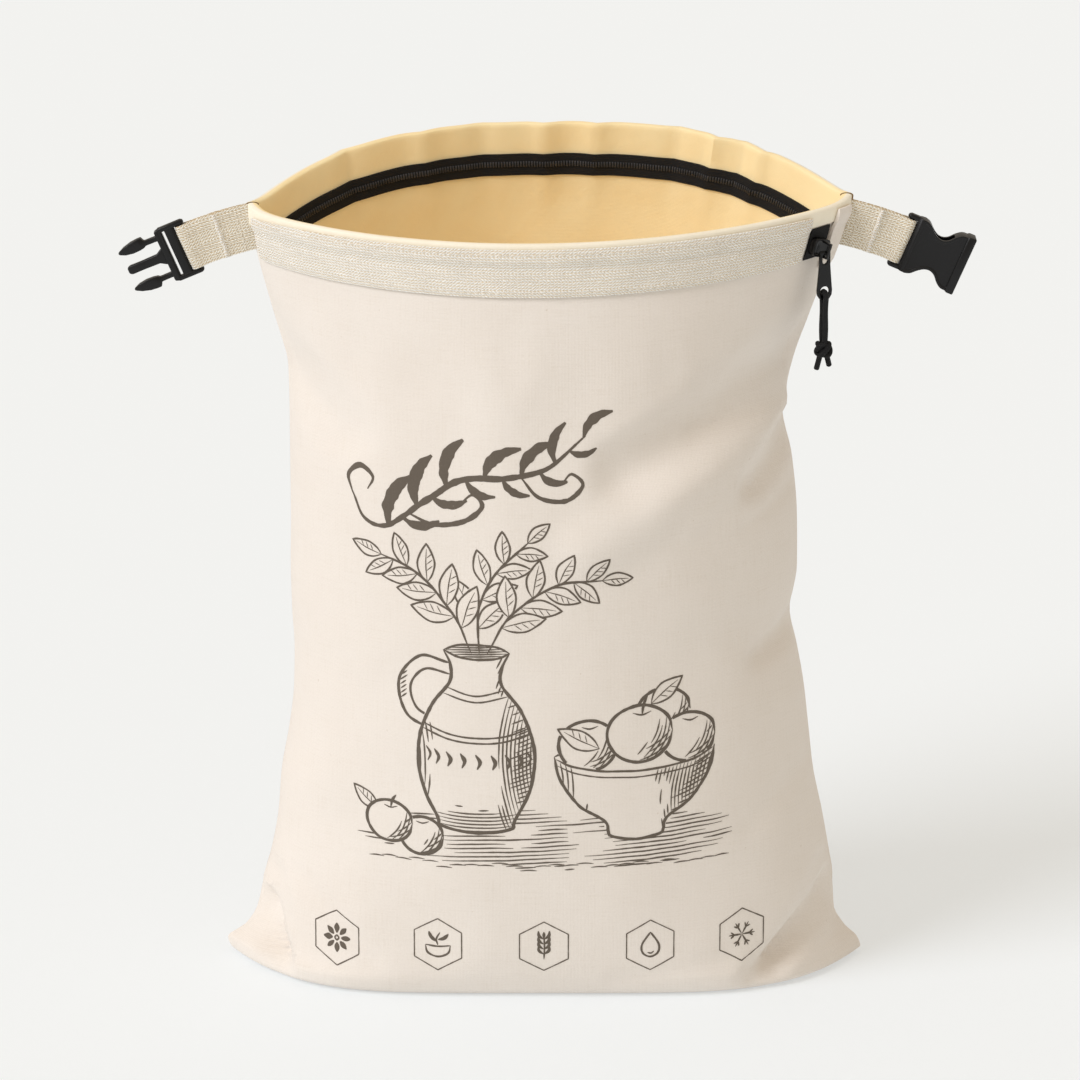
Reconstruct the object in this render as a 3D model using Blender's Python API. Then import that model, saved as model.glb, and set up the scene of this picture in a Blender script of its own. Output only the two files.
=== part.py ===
"""Bread bag: a canvas bag with a coated lining, standing filled out with its mouth open.

Sizes and places are in millimetres, X to the right, the front at -Y and the floor at z = 0.
A mesh is turned into metres when it is made. The bag's wall is one table of level sections,
and every layer, band and tape on the wall is read from that table at its own depth.
"""
import math
from collections import namedtuple

import bmesh
import bpy
from mathutils import Matrix, Vector

MM = 0.001
GAP = 0.4                   # air between pieces that touch
MIDDLE_X = 3.4              # middle of the part's width, which becomes x = 0
MIDDLE_Y = 0.0

# Cloth
CANVAS_THICK = 1.6
LINING_THICK = 1.0
TAPE_THICK = 1.0            # zip tape
WEBBING_WIDE = 25.0
WEBBING_THICK = 1.8
COLUMNS = 60                # round the bag, 6 degrees apart
STEP = 360.0 / COLUMNS
SIDE_SHARE = 1.3            # a wall is this much thicker across the bag, for its pointed ends
SEW_LEVEL = 399.0           # bottom edge of the rim webbing and of the zip tapes
ZIP_LEVEL = 411.0           # top edge of the zip tapes
CUFF_LEVEL = 418.0          # lower edge of the cuff, the lining turned down over the canvas
BAND_LEVEL = 424.0          # top edge of the rim webbing, which lies over the cuff
EDGE_LEVEL = 425.6          # cut edge of the canvas, inside the cuff
RIM_LEVEL = 427.0           # top of the cuff
FRONT_DROP = 4.0            # the front rim sags this far below the corners
BACK_RISE = 27.0            # the back rim stands this far above them
CORNER_TILT = 2.5           # the right corner is this much higher than the middle

# Half widths and half depths of the level sections. flat is how square the middle of a side
# is, and point is 0.5 for round ends, 1 for sharp ends and more for a fin such as an ear.
# mouth is the share of the rim's sag and rise that a level takes.
Level = namedtuple("Level", "height left right front back flat point mouth")
WALL = [
    Level(0.0, 166.0, 169.0, 61.0, 61.0, 5.0, 1.00, 0.0),
    Level(3.0, 172.0, 175.5, 66.0, 66.0, 5.0, 1.00, 0.0),
    Level(9.0, 173.5, 171.0, 69.5, 69.5, 5.0, 1.15, 0.0),
    Level(16.0, 161.0, 163.0, 72.5, 72.5, 4.0, 0.85, 0.0),
    Level(27.0, 157.5, 160.5, 75.5, 76.0, 3.0, 0.62, 0.0),
    Level(43.0, 154.5, 160.0, 78.5, 79.0, 2.5, 0.55, 0.0),
    Level(62.0, 149.0, 157.0, 81.0, 82.0, 2.3, 0.53, 0.0),
    Level(84.0, 145.0, 153.0, 83.0, 84.5, 2.2, 0.53, 0.0),
    Level(108.0, 143.0, 148.0, 85.0, 86.0, 2.1, 0.53, 0.0),
    Level(133.0, 138.5, 145.0, 86.5, 87.0, 2.0, 0.53, 0.0),
    Level(158.0, 135.5, 142.0, 87.0, 87.5, 2.0, 0.53, 0.0),
    Level(180.0, 135.0, 138.0, 87.0, 87.5, 2.0, 0.54, 0.0),
    Level(200.0, 136.0, 134.0, 87.0, 87.0, 2.0, 0.54, 0.0),
    Level(226.0, 136.5, 137.5, 87.0, 86.5, 2.0, 0.55, 0.0),
    Level(256.0, 136.0, 137.0, 86.5, 86.0, 2.0, 0.56, 0.05),
    Level(287.0, 136.0, 134.0, 85.5, 85.0, 2.0, 0.58, 0.12),
    Level(314.0, 136.0, 128.5, 83.5, 84.0, 2.0, 0.61, 0.25),
    Level(338.0, 137.0, 133.5, 81.0, 82.0, 2.0, 0.65, 0.42),
    Level(361.0, 142.0, 141.0, 78.0, 79.5, 2.0, 0.70, 0.62),
    Level(381.0, 147.0, 148.0, 75.0, 77.0, 2.0, 0.75, 0.80),
    Level(SEW_LEVEL, 151.5, 155.0, 72.0, 74.5, 2.0, 0.79, 0.92),
    Level(ZIP_LEVEL, 154.0, 159.0, 70.5, 73.0, 2.0, 0.80, 0.97),
    Level(CUFF_LEVEL, 155.0, 160.8, 69.7, 72.0, 2.0, 0.80, 1.0),
    Level(EDGE_LEVEL, 155.6, 162.4, 69.0, 71.0, 2.0, 0.80, 1.0),
    Level(RIM_LEVEL, 155.7, 162.6, 68.9, 70.8, 2.0, 0.80, 1.0),
]

# The room inside, where it is smaller than the wall: the ears are pressed shut.
HOLLOW = {
    0.0: Level(0.0, 136.0, 138.0, 56.0, 56.0, 3.0, 0.60, 0.0),
    3.0: Level(4.0, 143.0, 146.0, 61.0, 61.0, 3.0, 0.60, 0.0),
    9.0: Level(10.0, 147.0, 150.0, 64.5, 64.5, 3.0, 0.58, 0.0),
    16.0: Level(17.0, 149.5, 152.5, 67.5, 67.5, 2.8, 0.57, 0.0),
    27.0: Level(27.5, 151.0, 155.0, 72.0, 72.0, 2.6, 0.57, 0.0),
}

# Folds pressed into the wall, from one point to the other in the front view. A fold with a
# negative depth stands out. side is -1 on the front and 1 on the back.
Fold = namedtuple("Fold", "side from_x from_z to_x to_z half_width depth")
FOLDS = [
    Fold(-1, 133.0, 352.0, 44.0, 302.0, 26.0, 7.0),     # drag fold from the right corner
    Fold(-1, 128.0, 322.0, 26.0, 262.0, 24.0, -4.5),    # the roll under it
    Fold(-1, 138.0, 316.0, 112.0, 286.0, 13.0, 5.0),    # crease at the right pinch
    Fold(-1, 142.0, 200.0, 118.0, 189.0, 12.0, 4.0),    # small pinch lower down
    Fold(-1, -150.0, 362.0, -108.0, 316.0, 22.0, 4.5),  # soft crease at the left
    Fold(-1, -62.0, 380.0, -48.0, 250.0, 34.0, 2.5),    # shallow waves down the front
    Fold(-1, 18.0, 392.0, 6.0, 312.0, 30.0, 2.0),
    Fold(-1, -156.0, 34.0, -145.0, 8.0, 12.0, 6.0),     # dimple beside the left ear
    Fold(-1, 160.0, 42.0, 116.0, 7.0, 13.0, 7.0),       # valley behind the right ear's roll
    Fold(-1, -100.0, 96.0, -60.0, 40.0, 34.0, 2.5),
    Fold(1, -128.0, 350.0, -40.0, 290.0, 30.0, 6.0),
    Fold(1, 120.0, 356.0, 62.0, 250.0, 28.0, 5.0),
    Fold(1, 10.0, 400.0, 0.0, 260.0, 36.0, 3.0),
    Fold(1, -150.0, 40.0, -112.0, 8.0, 14.0, 6.0),
    Fold(1, 158.0, 36.0, 124.0, 8.0, 14.0, 6.0),
    Fold(1, 96.0, 150.0, 30.0, 70.0, 34.0, 3.5),
]
FOLD_TOP = 388.0            # the folds fade out below the sewn rim
FOLD_FADE = 40.0            # over this height
FOLD_FOOT = 15.0            # and again towards the floor, where the outline is smooth

# Pieces on the wall, as angles round the bag: 0 is the right seam, -90 the middle of the front
BAND_FROM, BAND_TO = -168.0, -30.0
TAPE_FROM, TAPE_TO = 18.0, 162.0
ZIP_END_ANGLES = (-28.4, -24.0, -19.6)
ZIP_END_LOW, ZIP_END_HIGH = 400.5, 417.0
TAB_ANGLES = (-18.0, -12.0, -7.5)
TAB_LOW, TAB_HIGH = 393.0, 425.0
TAB_THICK = 2.0
CUFF_STEP = GAP + LINING_THICK + GAP    # the band's back stands this far off over the cuff
ROUNDING = 0.4              # of the cuff's top corners

# Strap loops: where the middle of the sewn end is, its slope there and at the buckle
Strap = namedtuple("Strap", "name toward root_x root_z root_slope length")
STRAPS = (
    Strap("strap_left", -1, -156.9, 414.0, 14.0, 33.0),
    Strap("strap_right", 1, 162.1, 416.6, 14.0, 30.6),
)
BUCKLE_SLOPE = 23.0
LOOP_INNER = 1.7            # radius of the eye that holds the buckle's bar
RIDGE_PLACE = 15.0          # folded and stitched end of the strap, a ridge across it
RIDGE_HALF = 2.2
RIDGE_HIGH = 1.4

# Buckle, in its own frame: u runs out from the strap, w across the strap, n to the front
BAR_U = 2.5                 # the bar that the strap goes round
BAR_RADIUS = 1.3
RAIL_INNER, RAIL_OUTER = 12.9, 15.5
RAIL_HALF_THICK = 2.2
MID_BAR = (7.2, 11.5)
FRONT_BAR = (13.0, 17.0)
TONGUE_END, TONGUE_HALF = 38.0, 2.5
ARM = ((16.5, 9.2), (16.5, 12.0), (24.5, 12.0), (24.5, 14.6), (31.0, 14.2), (37.5, 12.2),
       (39.0, 11.0), (38.8, 9.8), (36.0, 8.4), (30.0, 7.8), (24.0, 8.8))
SOCKET = ((6.8, 15.3), (10.5, 15.3), (14.0, 13.6), (17.5, 10.2), (21.0, 8.8), (24.0, 9.2),
          (27.0, 12.4), (30.0, 15.2), (38.0, 15.8))
SOCKET_HALF_THICK = 4.8
SOCKET_FLOOR = 13.0
CAVITY_HALF_WIDE, CAVITY_HALF_THICK = 12.8, 3.0
COLLAR_FROM, COLLAR_TO, COLLAR_OVER = 33.5, 38.5, 0.6

# Zip slider and pull, in the slider's frame: t along the tape, n off the wall, z up
SLIDER_ANGLE, SLIDER_LEVEL = -24.6, 407.5
SLIDER_WIDE, SLIDER_HIGH, SLIDER_THICK = 11.0, 10.0, 4.2
BAIL_WIDE, BAIL_WIRE, BAIL_HIGH, BAIL_OUT = 1.6, 1.2, 8.8, 5.8
PULL_THICK = 1.5
PULL_OFF = 3.0              # the pull's plate hangs this far off the slider
PULL_OVER = 0.9             # top of its hole over the arch's leg, whose end it leans on
PULL_TURN = -20.0           # and is turned towards the front
PULL_LONG, PULL_TOP_HALF, PULL_LOW_HALF = 27.0, 3.1, 4.35
PULL_RISE, PULL_RIM = 2.0, 2.0      # metal above the top hole and below the lower one
PULL_TOP_HOLE = (1.7, 5.2)  # half width and height
PULL_LOW_HOLE = (2.65, 5.7)
CORD_THICK = 3.0
KNOT_HALF = (5.2, 4.6, 5.0)
KNOT_DROP = 24.0            # from the pull's lower hole to the top of the knot
TAIL_LONG, TAIL_LEAN = 8.0, 22.0


def material(name, colour, roughness, metallic=0.0):
    """A plain finish: its colour is linear red, green and blue."""
    finish = bpy.data.materials.new(name)
    finish.use_nodes = True
    shader = finish.node_tree.nodes["Principled BSDF"]
    shader.inputs["Base Color"].default_value = (*colour, 1.0)
    shader.inputs["Roughness"].default_value = roughness
    shader.inputs["Metallic"].default_value = metallic
    return finish


def solid(name, mesh, finish):
    """One named object from a bmesh in millimetres, faces pointing out."""
    if mesh.calc_volume(signed=True) < 0:
        bmesh.ops.reverse_faces(mesh, faces=mesh.faces)
    shift = Vector((-MIDDLE_X, -MIDDLE_Y, 0.0))
    for vertex in mesh.verts:
        vertex.co = (vertex.co + shift) * MM
    data = bpy.data.meshes.new(name)
    mesh.to_mesh(data)
    mesh.free()
    data.shade_smooth()
    data.set_sharp_from_angle(angle=math.radians(40.0))
    data.materials.append(finish)
    piece = bpy.data.objects.new(name, data)
    bpy.context.scene.collection.objects.link(piece)
    return piece


def skin(rings):
    """Closed rings of points joined in turn, with a face over the first and the last.

    Two layers on the same grid are split along the same diagonals, so that they stay apart.
    """
    mesh = bmesh.new()
    rows = [[mesh.verts.new(point) for point in ring] for ring in rings]
    count = len(rings[0])
    for first, second in zip(rows, rows[1:]):
        rises = sum(vertex.co.z for vertex in second) >= sum(vertex.co.z for vertex in first)
        for here in range(count):
            there = (here + 1) % count
            if rises:
                mesh.faces.new((first[here], first[there], second[there]))
                mesh.faces.new((first[here], second[there], second[here]))
            else:
                mesh.faces.new((first[here], first[there], second[here]))
                mesh.faces.new((first[there], second[there], second[here]))
    mesh.faces.new(rows[0][::-1])
    mesh.faces.new(rows[-1])
    return mesh


def between(low, high, share):
    """The level that lies at this share of the way from low to high."""
    return Level(*(a + (b - a) * share for a, b in zip(low, high)))


def level_at(height):
    """The wall's section at any height, read between the table's rows."""
    for low, high in zip(WALL, WALL[1:]):
        if height <= high.height:
            return between(low, high, (height - low.height) / (high.height - low.height))
    return WALL[-1]


def section_point(level, angle, inset):
    """A point of one level section, inset mm inside the wall's outer face."""
    across = math.cos(math.radians(angle))
    front = math.sin(math.radians(angle)) < 0
    half = (level.right if across > 0 else level.left) - SIDE_SHARE * inset
    depth = (level.front if front else level.back) - inset
    out = max(0.0, 1.0 - abs(across) ** level.flat) ** level.point
    lift = CORNER_TILT * across
    if front:
        lift -= FRONT_DROP * (1.0 - across ** 2)
    else:
        lift += BACK_RISE * (1.0 - abs(across) ** 3.5)
    return Vector((half * across, -depth * out if front else depth * out,
                   level.height + lift * level.mouth))


def outward(level, angle):
    """The wall's level direction outwards at this angle."""
    turn = 1.5
    ahead = section_point(level, angle + turn, 0.0)
    behind = section_point(level, angle - turn, 0.0)
    along = ahead - behind
    return Vector((along.y, -along.x, 0.0)).normalized()


def fold_depth(x, z, side):
    """How far the folds press this point of the wall in."""
    total = 0.0
    for fold in FOLDS:
        if fold.side != side:
            continue
        run = Vector((fold.to_x - fold.from_x, fold.to_z - fold.from_z))
        place = Vector((x - fold.from_x, z - fold.from_z))
        along = min(1.0, max(0.0, place.dot(run) / run.length_squared))
        away = (place - run * along).length / fold.half_width
        if away < 1.0:
            total += fold.depth * (1.0 - away * away) ** 2
    return total


def wall_point(level, angle, inset=0.0, room=None):
    """A point of the folded wall. room is the smaller section used inside the ears."""
    plain = section_point(level, angle, 0.0)
    side = -1 if math.sin(math.radians(angle)) < 0 else 1
    fade = min(1.0, max(0.0, (FOLD_TOP - level.height) / FOLD_FADE),
               level.height / FOLD_FOOT)
    seam_fade = min(1.0, abs(math.sin(math.radians(angle))) / 0.15)
    press = fold_depth(plain.x, plain.z, side) * fade * seam_fade
    point = section_point(room or level, angle, inset)
    return point - outward(level, angle) * press


def ring(level, inset=0.0, lift=0.0, room=None):
    """One closed ring of the wall."""
    up = Vector((0.0, 0.0, lift))
    return [wall_point(level, STEP * n, inset, room) + up for n in range(COLUMNS)]


def inner_rings(top_level, inset, floor):
    """The rings of an inner face, from its top down to its floor."""
    rings = []
    for level in reversed([row for row in WALL if row.height <= top_level]):
        room = HOLLOW.get(level.height)
        rings.append(ring(level, inset, floor if room else 0.0, room))
    return rings


def canvas_body(finish):
    outer = [ring(level) for level in WALL if level.height <= EDGE_LEVEL]
    inner = inner_rings(EDGE_LEVEL, CANVAS_THICK, CANVAS_THICK)
    return solid("canvas_body", skin(outer + inner), finish)


def lining(finish):
    """The inner bag, its top turned down outside the canvas edge as a cuff."""
    outside = CANVAS_THICK + GAP
    inside = outside + LINING_THICK
    over = -GAP - LINING_THICK
    edge, low, rim = level_at(EDGE_LEVEL), level_at(CUFF_LEVEL), level_at(RIM_LEVEL)
    rings = inner_rings(EDGE_LEVEL, outside, outside)[:0:-1]
    rings += [ring(edge, outside, GAP), ring(edge, -GAP, GAP), ring(low, -GAP)]
    rings += [ring(low, over), ring(edge, over), ring(rim, over + ROUNDING)]
    rings += [ring(rim, inside - ROUNDING)]
    rings += inner_rings(EDGE_LEVEL, inside, inside)
    return solid("lining", skin(rings), finish)


def strip(angles, rows, thick):
    """A strip along the wall. Each row is a height and how far its back stands off the wall."""
    rings = []
    for angle in angles:
        out = outward(level_at(rows[0][0]), angle)
        walls = [(wall_point(level_at(height), angle), off) for height, off in rows]
        rings.append([point + out * (off + thick) for point, off in walls]
                     + [point + out * off for point, off in reversed(walls)])
    return skin(rings)


def grid_angles(first, last):
    count = round((last - first) / STEP)
    return [first + STEP * n for n in range(count + 1)]


def over_cuff(low, top):
    """Rows for a strip that lies on the canvas and then steps out over the cuff."""
    flat = [height for height in (low, SEW_LEVEL, ZIP_LEVEL) if height >= low]
    rows = [(height, GAP) for height in sorted(set(flat))]
    rows += [(CUFF_LEVEL - 1.2, GAP), (CUFF_LEVEL - GAP, CUFF_STEP)]
    return rows + [(top, CUFF_STEP)]


def rim_webbing(finish):
    rows = over_cuff(SEW_LEVEL, BAND_LEVEL)
    mesh = strip(grid_angles(BAND_FROM, BAND_TO), rows, WEBBING_THICK)
    return solid("rim_webbing", mesh, finish)


def side_tab(finish):
    return solid("side_tab", strip(TAB_ANGLES, over_cuff(TAB_LOW, TAB_HIGH), TAB_THICK), finish)


def zip_end(finish):
    rows = [(height, GAP) for height in (ZIP_END_LOW, ZIP_LEVEL, ZIP_END_HIGH)]
    return solid("zip_end", strip(ZIP_END_ANGLES, rows, TAPE_THICK), finish)


def zip_tape(name, first, last, finish):
    """A tape sewn inside the lining, following the lining's own columns."""
    near = CANVAS_THICK + GAP + LINING_THICK + GAP
    rings = []
    for angle in grid_angles(first, last):
        levels = (level_at(SEW_LEVEL), level_at(ZIP_LEVEL))
        rings.append([wall_point(level, angle, near) for level in levels]
                     + [wall_point(level, angle, near + TAPE_THICK) for level in levels[::-1]])
    return solid(name, skin(rings), finish)


def strap_centre(strap, along):
    """Middle line of a strap in the X-Z plane: its place and its slope this far along."""
    bend = math.radians(BUCKLE_SLOPE - strap.root_slope) / strap.length
    start = math.radians(strap.root_slope)
    slope = start + bend * along
    run = (math.sin(slope) - math.sin(start)) / bend
    fall = (math.cos(start) - math.cos(slope)) / bend
    return Vector((strap.root_x + strap.toward * run, 0.0, strap.root_z - fall)), slope


def strap_loop(strap, finish):
    """Webbing folded round the buckle's bar: front layer, eye and back layer in one."""
    bar = strap.length
    swell = 7.0             # the layers part this far before the bar
    stations = []           # (along, middle of the layer off the centre, extra thickness)
    flat = GAP / 2
    for share in (0.0, 0.3):
        stations.append((bar * share, flat, 0.0))
    for offset, high in ((-RIDGE_HALF, 0.0), (-RIDGE_HALF / 2, 1.0), (RIDGE_HALF / 2, 1.0),
                         (RIDGE_HALF, 0.0)):
        stations.append((RIDGE_PLACE + offset, flat, RIDGE_HIGH * high))
    for share in (0.0, 0.35, 0.7, 1.0):
        open_by = (LOOP_INNER - flat) * (3 * share ** 2 - 2 * share ** 3)
        stations.append((bar - swell * (1.0 - share), flat + open_by, 0.0))

    def cross(along, off, out, turn, side):
        centre, slope = strap_centre(strap, along)
        ahead = Vector((strap.toward * math.cos(slope), 0.0, -math.sin(slope)))
        up = Vector((strap.toward * math.sin(slope), 0.0, math.cos(slope)))
        away = Vector((0.0, side * math.cos(turn), 0.0)) + ahead * math.sin(turn)
        half = WEBBING_WIDE / 2
        inner, outer = centre + away * off, centre + away * out
        return [inner - up * half, inner + up * half, outer + up * half, outer - up * half]

    rings = [cross(along, off, off + WEBBING_THICK + extra, 0.0, -1)
             for along, off, extra in stations]
    for turn in (22.5, 45.0, 67.5, 90.0, 112.5, 135.0, 157.5):
        rings.append(cross(bar, LOOP_INNER, LOOP_INNER + WEBBING_THICK,
                           math.radians(turn), -1))
    rings += [cross(along, off, off + WEBBING_THICK, 0.0, 1)
              for along, off, _ in reversed(stations)]
    return solid(strap.name, skin(rings), finish)


def prism(outline, low, high):
    """An outline in u and w, raised from n = low to n = high."""
    return skin([[Vector((u, w, low)) for u, w in outline],
                 [Vector((u, w, high)) for u, w in outline]])


def block(u, w, n):
    return prism(((u[0], w[0]), (u[1], w[0]), (u[1], w[1]), (u[0], w[1])), *n)


def bar_across():
    """The round bar that a strap goes round, from rail to rail."""
    reach = (RAIL_INNER + RAIL_OUTER) / 2
    rings = []
    for w in (-reach, reach):
        rings.append([Vector((BAR_U + BAR_RADIUS * math.cos(math.radians(turn)), w,
                              BAR_RADIUS * math.sin(math.radians(turn))))
                      for turn in range(0, 360, 30)])
    return skin(rings)


def helper(mesh):
    """A throwaway object for one Boolean step."""
    if mesh.calc_volume(signed=True) < 0:
        bmesh.ops.reverse_faces(mesh, faces=mesh.faces)
    data = bpy.data.meshes.new("helper")
    mesh.to_mesh(data)
    mesh.free()
    piece = bpy.data.objects.new("helper", data)
    bpy.context.scene.collection.objects.link(piece)
    return piece


def combined(first, others, operation="UNION"):
    """One bmesh from several: joined together, or the first with the others cut out."""
    base = helper(first)
    tools = [helper(other) for other in others]
    for tool in tools:
        step = base.modifiers.new("join", "BOOLEAN")
        step.operation = operation
        step.object = tool
    bpy.context.view_layer.update()
    view = bpy.context.evaluated_depsgraph_get()
    mesh = bmesh.new()
    mesh.from_object(base, view)
    for used in (base, *tools):
        bpy.data.objects.remove(used)
    return mesh


def seat_buckle(mesh, strap):
    """Puts a buckle's bar in its strap's eye, sloping down away from the bag."""
    centre, slope = strap_centre(strap, strap.length)
    ahead = Vector((strap.toward * math.cos(slope), 0.0, -math.sin(slope)))
    up = Vector((strap.toward * math.sin(slope), 0.0, math.cos(slope)))
    place = Matrix((ahead, up, Vector((0.0, -1.0, 0.0)))).transposed().to_4x4()
    place.translation = centre - ahead * BAR_U
    bmesh.ops.transform(mesh, matrix=place, verts=mesh.verts)
    return mesh


def rails(length):
    thick = (-RAIL_HALF_THICK, RAIL_HALF_THICK)
    return [block((0.0, length), (side * RAIL_INNER, side * RAIL_OUTER), thick)
            for side in (-1, 1)]


def buckle_prongs(strap, finish):
    """Half with two springy arms and a guide tongue."""
    wide = (-RAIL_OUTER + 0.5, RAIL_OUTER - 0.5)
    tongue = ((15.0, -5.0), (17.5, -4.6), (20.5, -TONGUE_HALF), (TONGUE_END - 1.5, -TONGUE_HALF),
              (TONGUE_END, -1.2), (TONGUE_END, 1.2), (TONGUE_END - 1.5, TONGUE_HALF),
              (20.5, TONGUE_HALF), (17.5, 4.6), (15.0, 5.0))
    parts = rails(FRONT_BAR[1]) + [bar_across(), prism(tongue, -1.6, 1.6)]
    parts += [block(MID_BAR, wide, (-1.9, 1.9))]
    parts += [prism([(u, side * w) for u, w in ARM], -2.0, 2.0) for side in (-1, 1)]
    body = combined(block(FRONT_BAR, wide, (-2.1, 2.1)), parts)
    return solid("buckle_prongs", seat_buckle(body, strap), finish)


def buckle_socket(strap, finish):
    """Half with the hollow mouth and two side windows where the arms latch."""
    outline = [(u, w) for u, w in SOCKET] + [(u, -w) for u, w in reversed(SOCKET)]
    shell = prism(outline, -SOCKET_HALF_THICK, SOCKET_HALF_THICK)
    over = SOCKET_HALF_THICK + COLLAR_OVER
    collar_half = SOCKET[-1][1] + COLLAR_OVER
    collar = block((COLLAR_FROM, COLLAR_TO), (-collar_half, collar_half), (-over, over))
    body = combined(shell, rails(8.5) + [bar_across(), collar])
    cavity = block((SOCKET_FLOOR, COLLAR_TO + 5.0), (-CAVITY_HALF_WIDE, CAVITY_HALF_WIDE),
                   (-CAVITY_HALF_THICK, CAVITY_HALF_THICK))
    body = combined(body, [cavity], "DIFFERENCE")
    return solid("buckle_socket", seat_buckle(body, strap), finish)


def axes(along, out, up, origin):
    """A frame from its three directions and its place."""
    place = Matrix((along, out, up)).transposed().to_4x4()
    place.translation = origin
    return place


def slider_frame():
    """The slider's place, flat on the zip end, which leans with the wall."""
    level = level_at(SLIDER_LEVEL)
    half = SLIDER_HIGH / 2
    above = wall_point(level_at(SLIDER_LEVEL + half), SLIDER_ANGLE)
    below = wall_point(level_at(SLIDER_LEVEL - half), SLIDER_ANGLE)
    up = (above - below).normalized()
    out = outward(level, SLIDER_ANGLE)
    out = (out - up * out.dot(up)).normalized()
    origin = wall_point(level, SLIDER_ANGLE) + out * (GAP + TAPE_THICK + GAP + 0.1)
    return axes(out.cross(up), out, up, origin)


def box(t, n, z):
    """A block in the slider's frame."""
    corners = [(t[0], n[0]), (t[1], n[0]), (t[1], n[1]), (t[0], n[1])]
    return skin([[Vector((a, b, z[0])) for a, b in corners],
                 [Vector((a, b, z[1])) for a, b in corners]])


def zip_slider(finish):
    """Slider body with the arch that holds the pull."""
    half = SLIDER_WIDE / 2
    corner, face = 2.4, SLIDER_THICK
    tall = SLIDER_HIGH / 2
    outline = ((-half, -tall + corner), (-half + corner, -tall), (half - corner, -tall),
               (half, -tall + corner), (half, tall - corner), (half - corner, tall),
               (-half + corner, tall), (-half, tall - corner))
    body = skin([[Vector((t, n, z)) for t, z in outline] for n in (0.0, face)])
    reach, leg = BAIL_OUT, BAIL_HIGH / 2
    wide = (-BAIL_WIDE / 2, BAIL_WIDE / 2)
    legs = [box(wide, (face - 1.0, face + reach), (z, z + BAIL_WIRE))
            for z in (-leg, leg - BAIL_WIRE)]
    front = box(wide, (face + reach - BAIL_WIRE, face + reach), (-leg + 0.2, leg - 0.2))
    mesh = combined(body, legs + [front])
    bmesh.ops.transform(mesh, matrix=slider_frame(), verts=mesh.verts)
    return solid("zip_slider", mesh, finish)


def pull_frame():
    """Top of the arch's lower leg, which the pull hangs on, upright whatever the slider does."""
    leg_top = -BAIL_HIGH / 2 + BAIL_WIRE
    slider = slider_frame()
    origin = slider @ Vector((0.0, SLIDER_THICK + PULL_OFF, leg_top + PULL_OVER))
    up = Vector((0.0, 0.0, 1.0))
    out = slider.to_3x3() @ Vector((0.0, 1.0, 0.0))
    out = Vector((out.x, out.y, 0.0)).normalized()
    upright = axes(out.cross(up), out, up, origin)
    return upright @ Matrix.Rotation(math.radians(PULL_TURN), 4, "Z")


def oval(middle, half_wide, high, count=14):
    """A rounded slot outline in t and z, as points in turn."""
    straight = max(0.0, high / 2 - half_wide)
    points = []
    for n in range(count):
        turn = 2 * math.pi * n / count
        shift = math.copysign(straight, math.sin(turn)) if abs(math.sin(turn)) > 1e-6 else 0.0
        points.append((half_wide * math.cos(turn), middle + shift + half_wide * math.sin(turn)))
    return points


def cut_slot(middle, half_wide, high):
    outline = oval(middle, half_wide, high)
    return skin([[Vector((t, n, z)) for t, z in outline] for n in (-4.0, 4.0)])


def zip_pull(finish):
    """Flat pull plate, wider below, with a hole at each end."""
    top = PULL_RISE
    low = top - PULL_LONG
    outline = [(-PULL_TOP_HALF + 0.9, top), (-PULL_TOP_HALF, top - 0.9),
               (-PULL_TOP_HALF, -6.0), (-PULL_LOW_HALF, low + 6.0)]
    outline += [(PULL_LOW_HALF * math.cos(math.radians(turn)),
                 low + PULL_LOW_HALF + PULL_LOW_HALF * math.sin(math.radians(turn)))
                for turn in range(190, 351, 20)]
    outline += [(PULL_LOW_HALF, low + 6.0), (PULL_TOP_HALF, -6.0),
                (PULL_TOP_HALF, top - 0.9), (PULL_TOP_HALF - 0.9, top)]
    half = PULL_THICK / 2
    plate = skin([[Vector((t, n, z)) for t, z in outline] for n in (-half, half)])
    holes = [cut_slot(-PULL_TOP_HOLE[1] / 2, *PULL_TOP_HOLE),
             cut_slot(low + PULL_RIM + PULL_LOW_HOLE[1] / 2, *PULL_LOW_HOLE)]
    mesh = combined(plate, holes, "DIFFERENCE")
    bmesh.ops.transform(mesh, matrix=pull_frame(), verts=mesh.verts)
    return solid("zip_pull", mesh, finish)


def cord_places():
    """Heights in the pull's frame: the cord's arch in the hole, and the knot's top."""
    rim = PULL_RISE - PULL_LONG + PULL_RIM
    return rim, rim - KNOT_DROP


def pull_cord(finish):
    """Doubled cord: up behind the plate, through its lower hole and down in front."""
    arch, knot_top = cord_places()
    spread = PULL_THICK / 2 + GAP + CORD_THICK / 2
    close = CORD_THICK / 2 + 0.25
    route = []
    down = 9
    for n in range(down):
        share = n / (down - 1)
        ease = 3 * share ** 2 - 2 * share ** 3
        route.append((close + (spread - close) * ease,
                      knot_top + GAP + (arch - knot_top - GAP) * share))
    turns = [math.radians(turn) for turn in (30, 60, 90, 120, 150)]
    over = [(spread * math.cos(turn), arch + spread * math.sin(turn)) for turn in turns]
    points = route + over + [(-n, z) for n, z in reversed(route)]
    place = pull_frame()
    sides = 8
    rings = []
    for n, (off, z) in enumerate(points):
        before = Vector((0.0, *points[max(0, n - 1)]))
        after = Vector((0.0, *points[min(len(points) - 1, n + 1)]))
        along = (after - before).normalized()
        side = Vector((1.0, 0.0, 0.0))
        other = along.cross(side)
        middle = Vector((0.0, off, z))
        rings.append([place @ (middle + (side * math.cos(turn) + other * math.sin(turn))
                               * CORD_THICK / 2)
                      for turn in (2 * math.pi * k / sides for k in range(sides))])
    return solid("pull_cord", skin(rings), finish)


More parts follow.
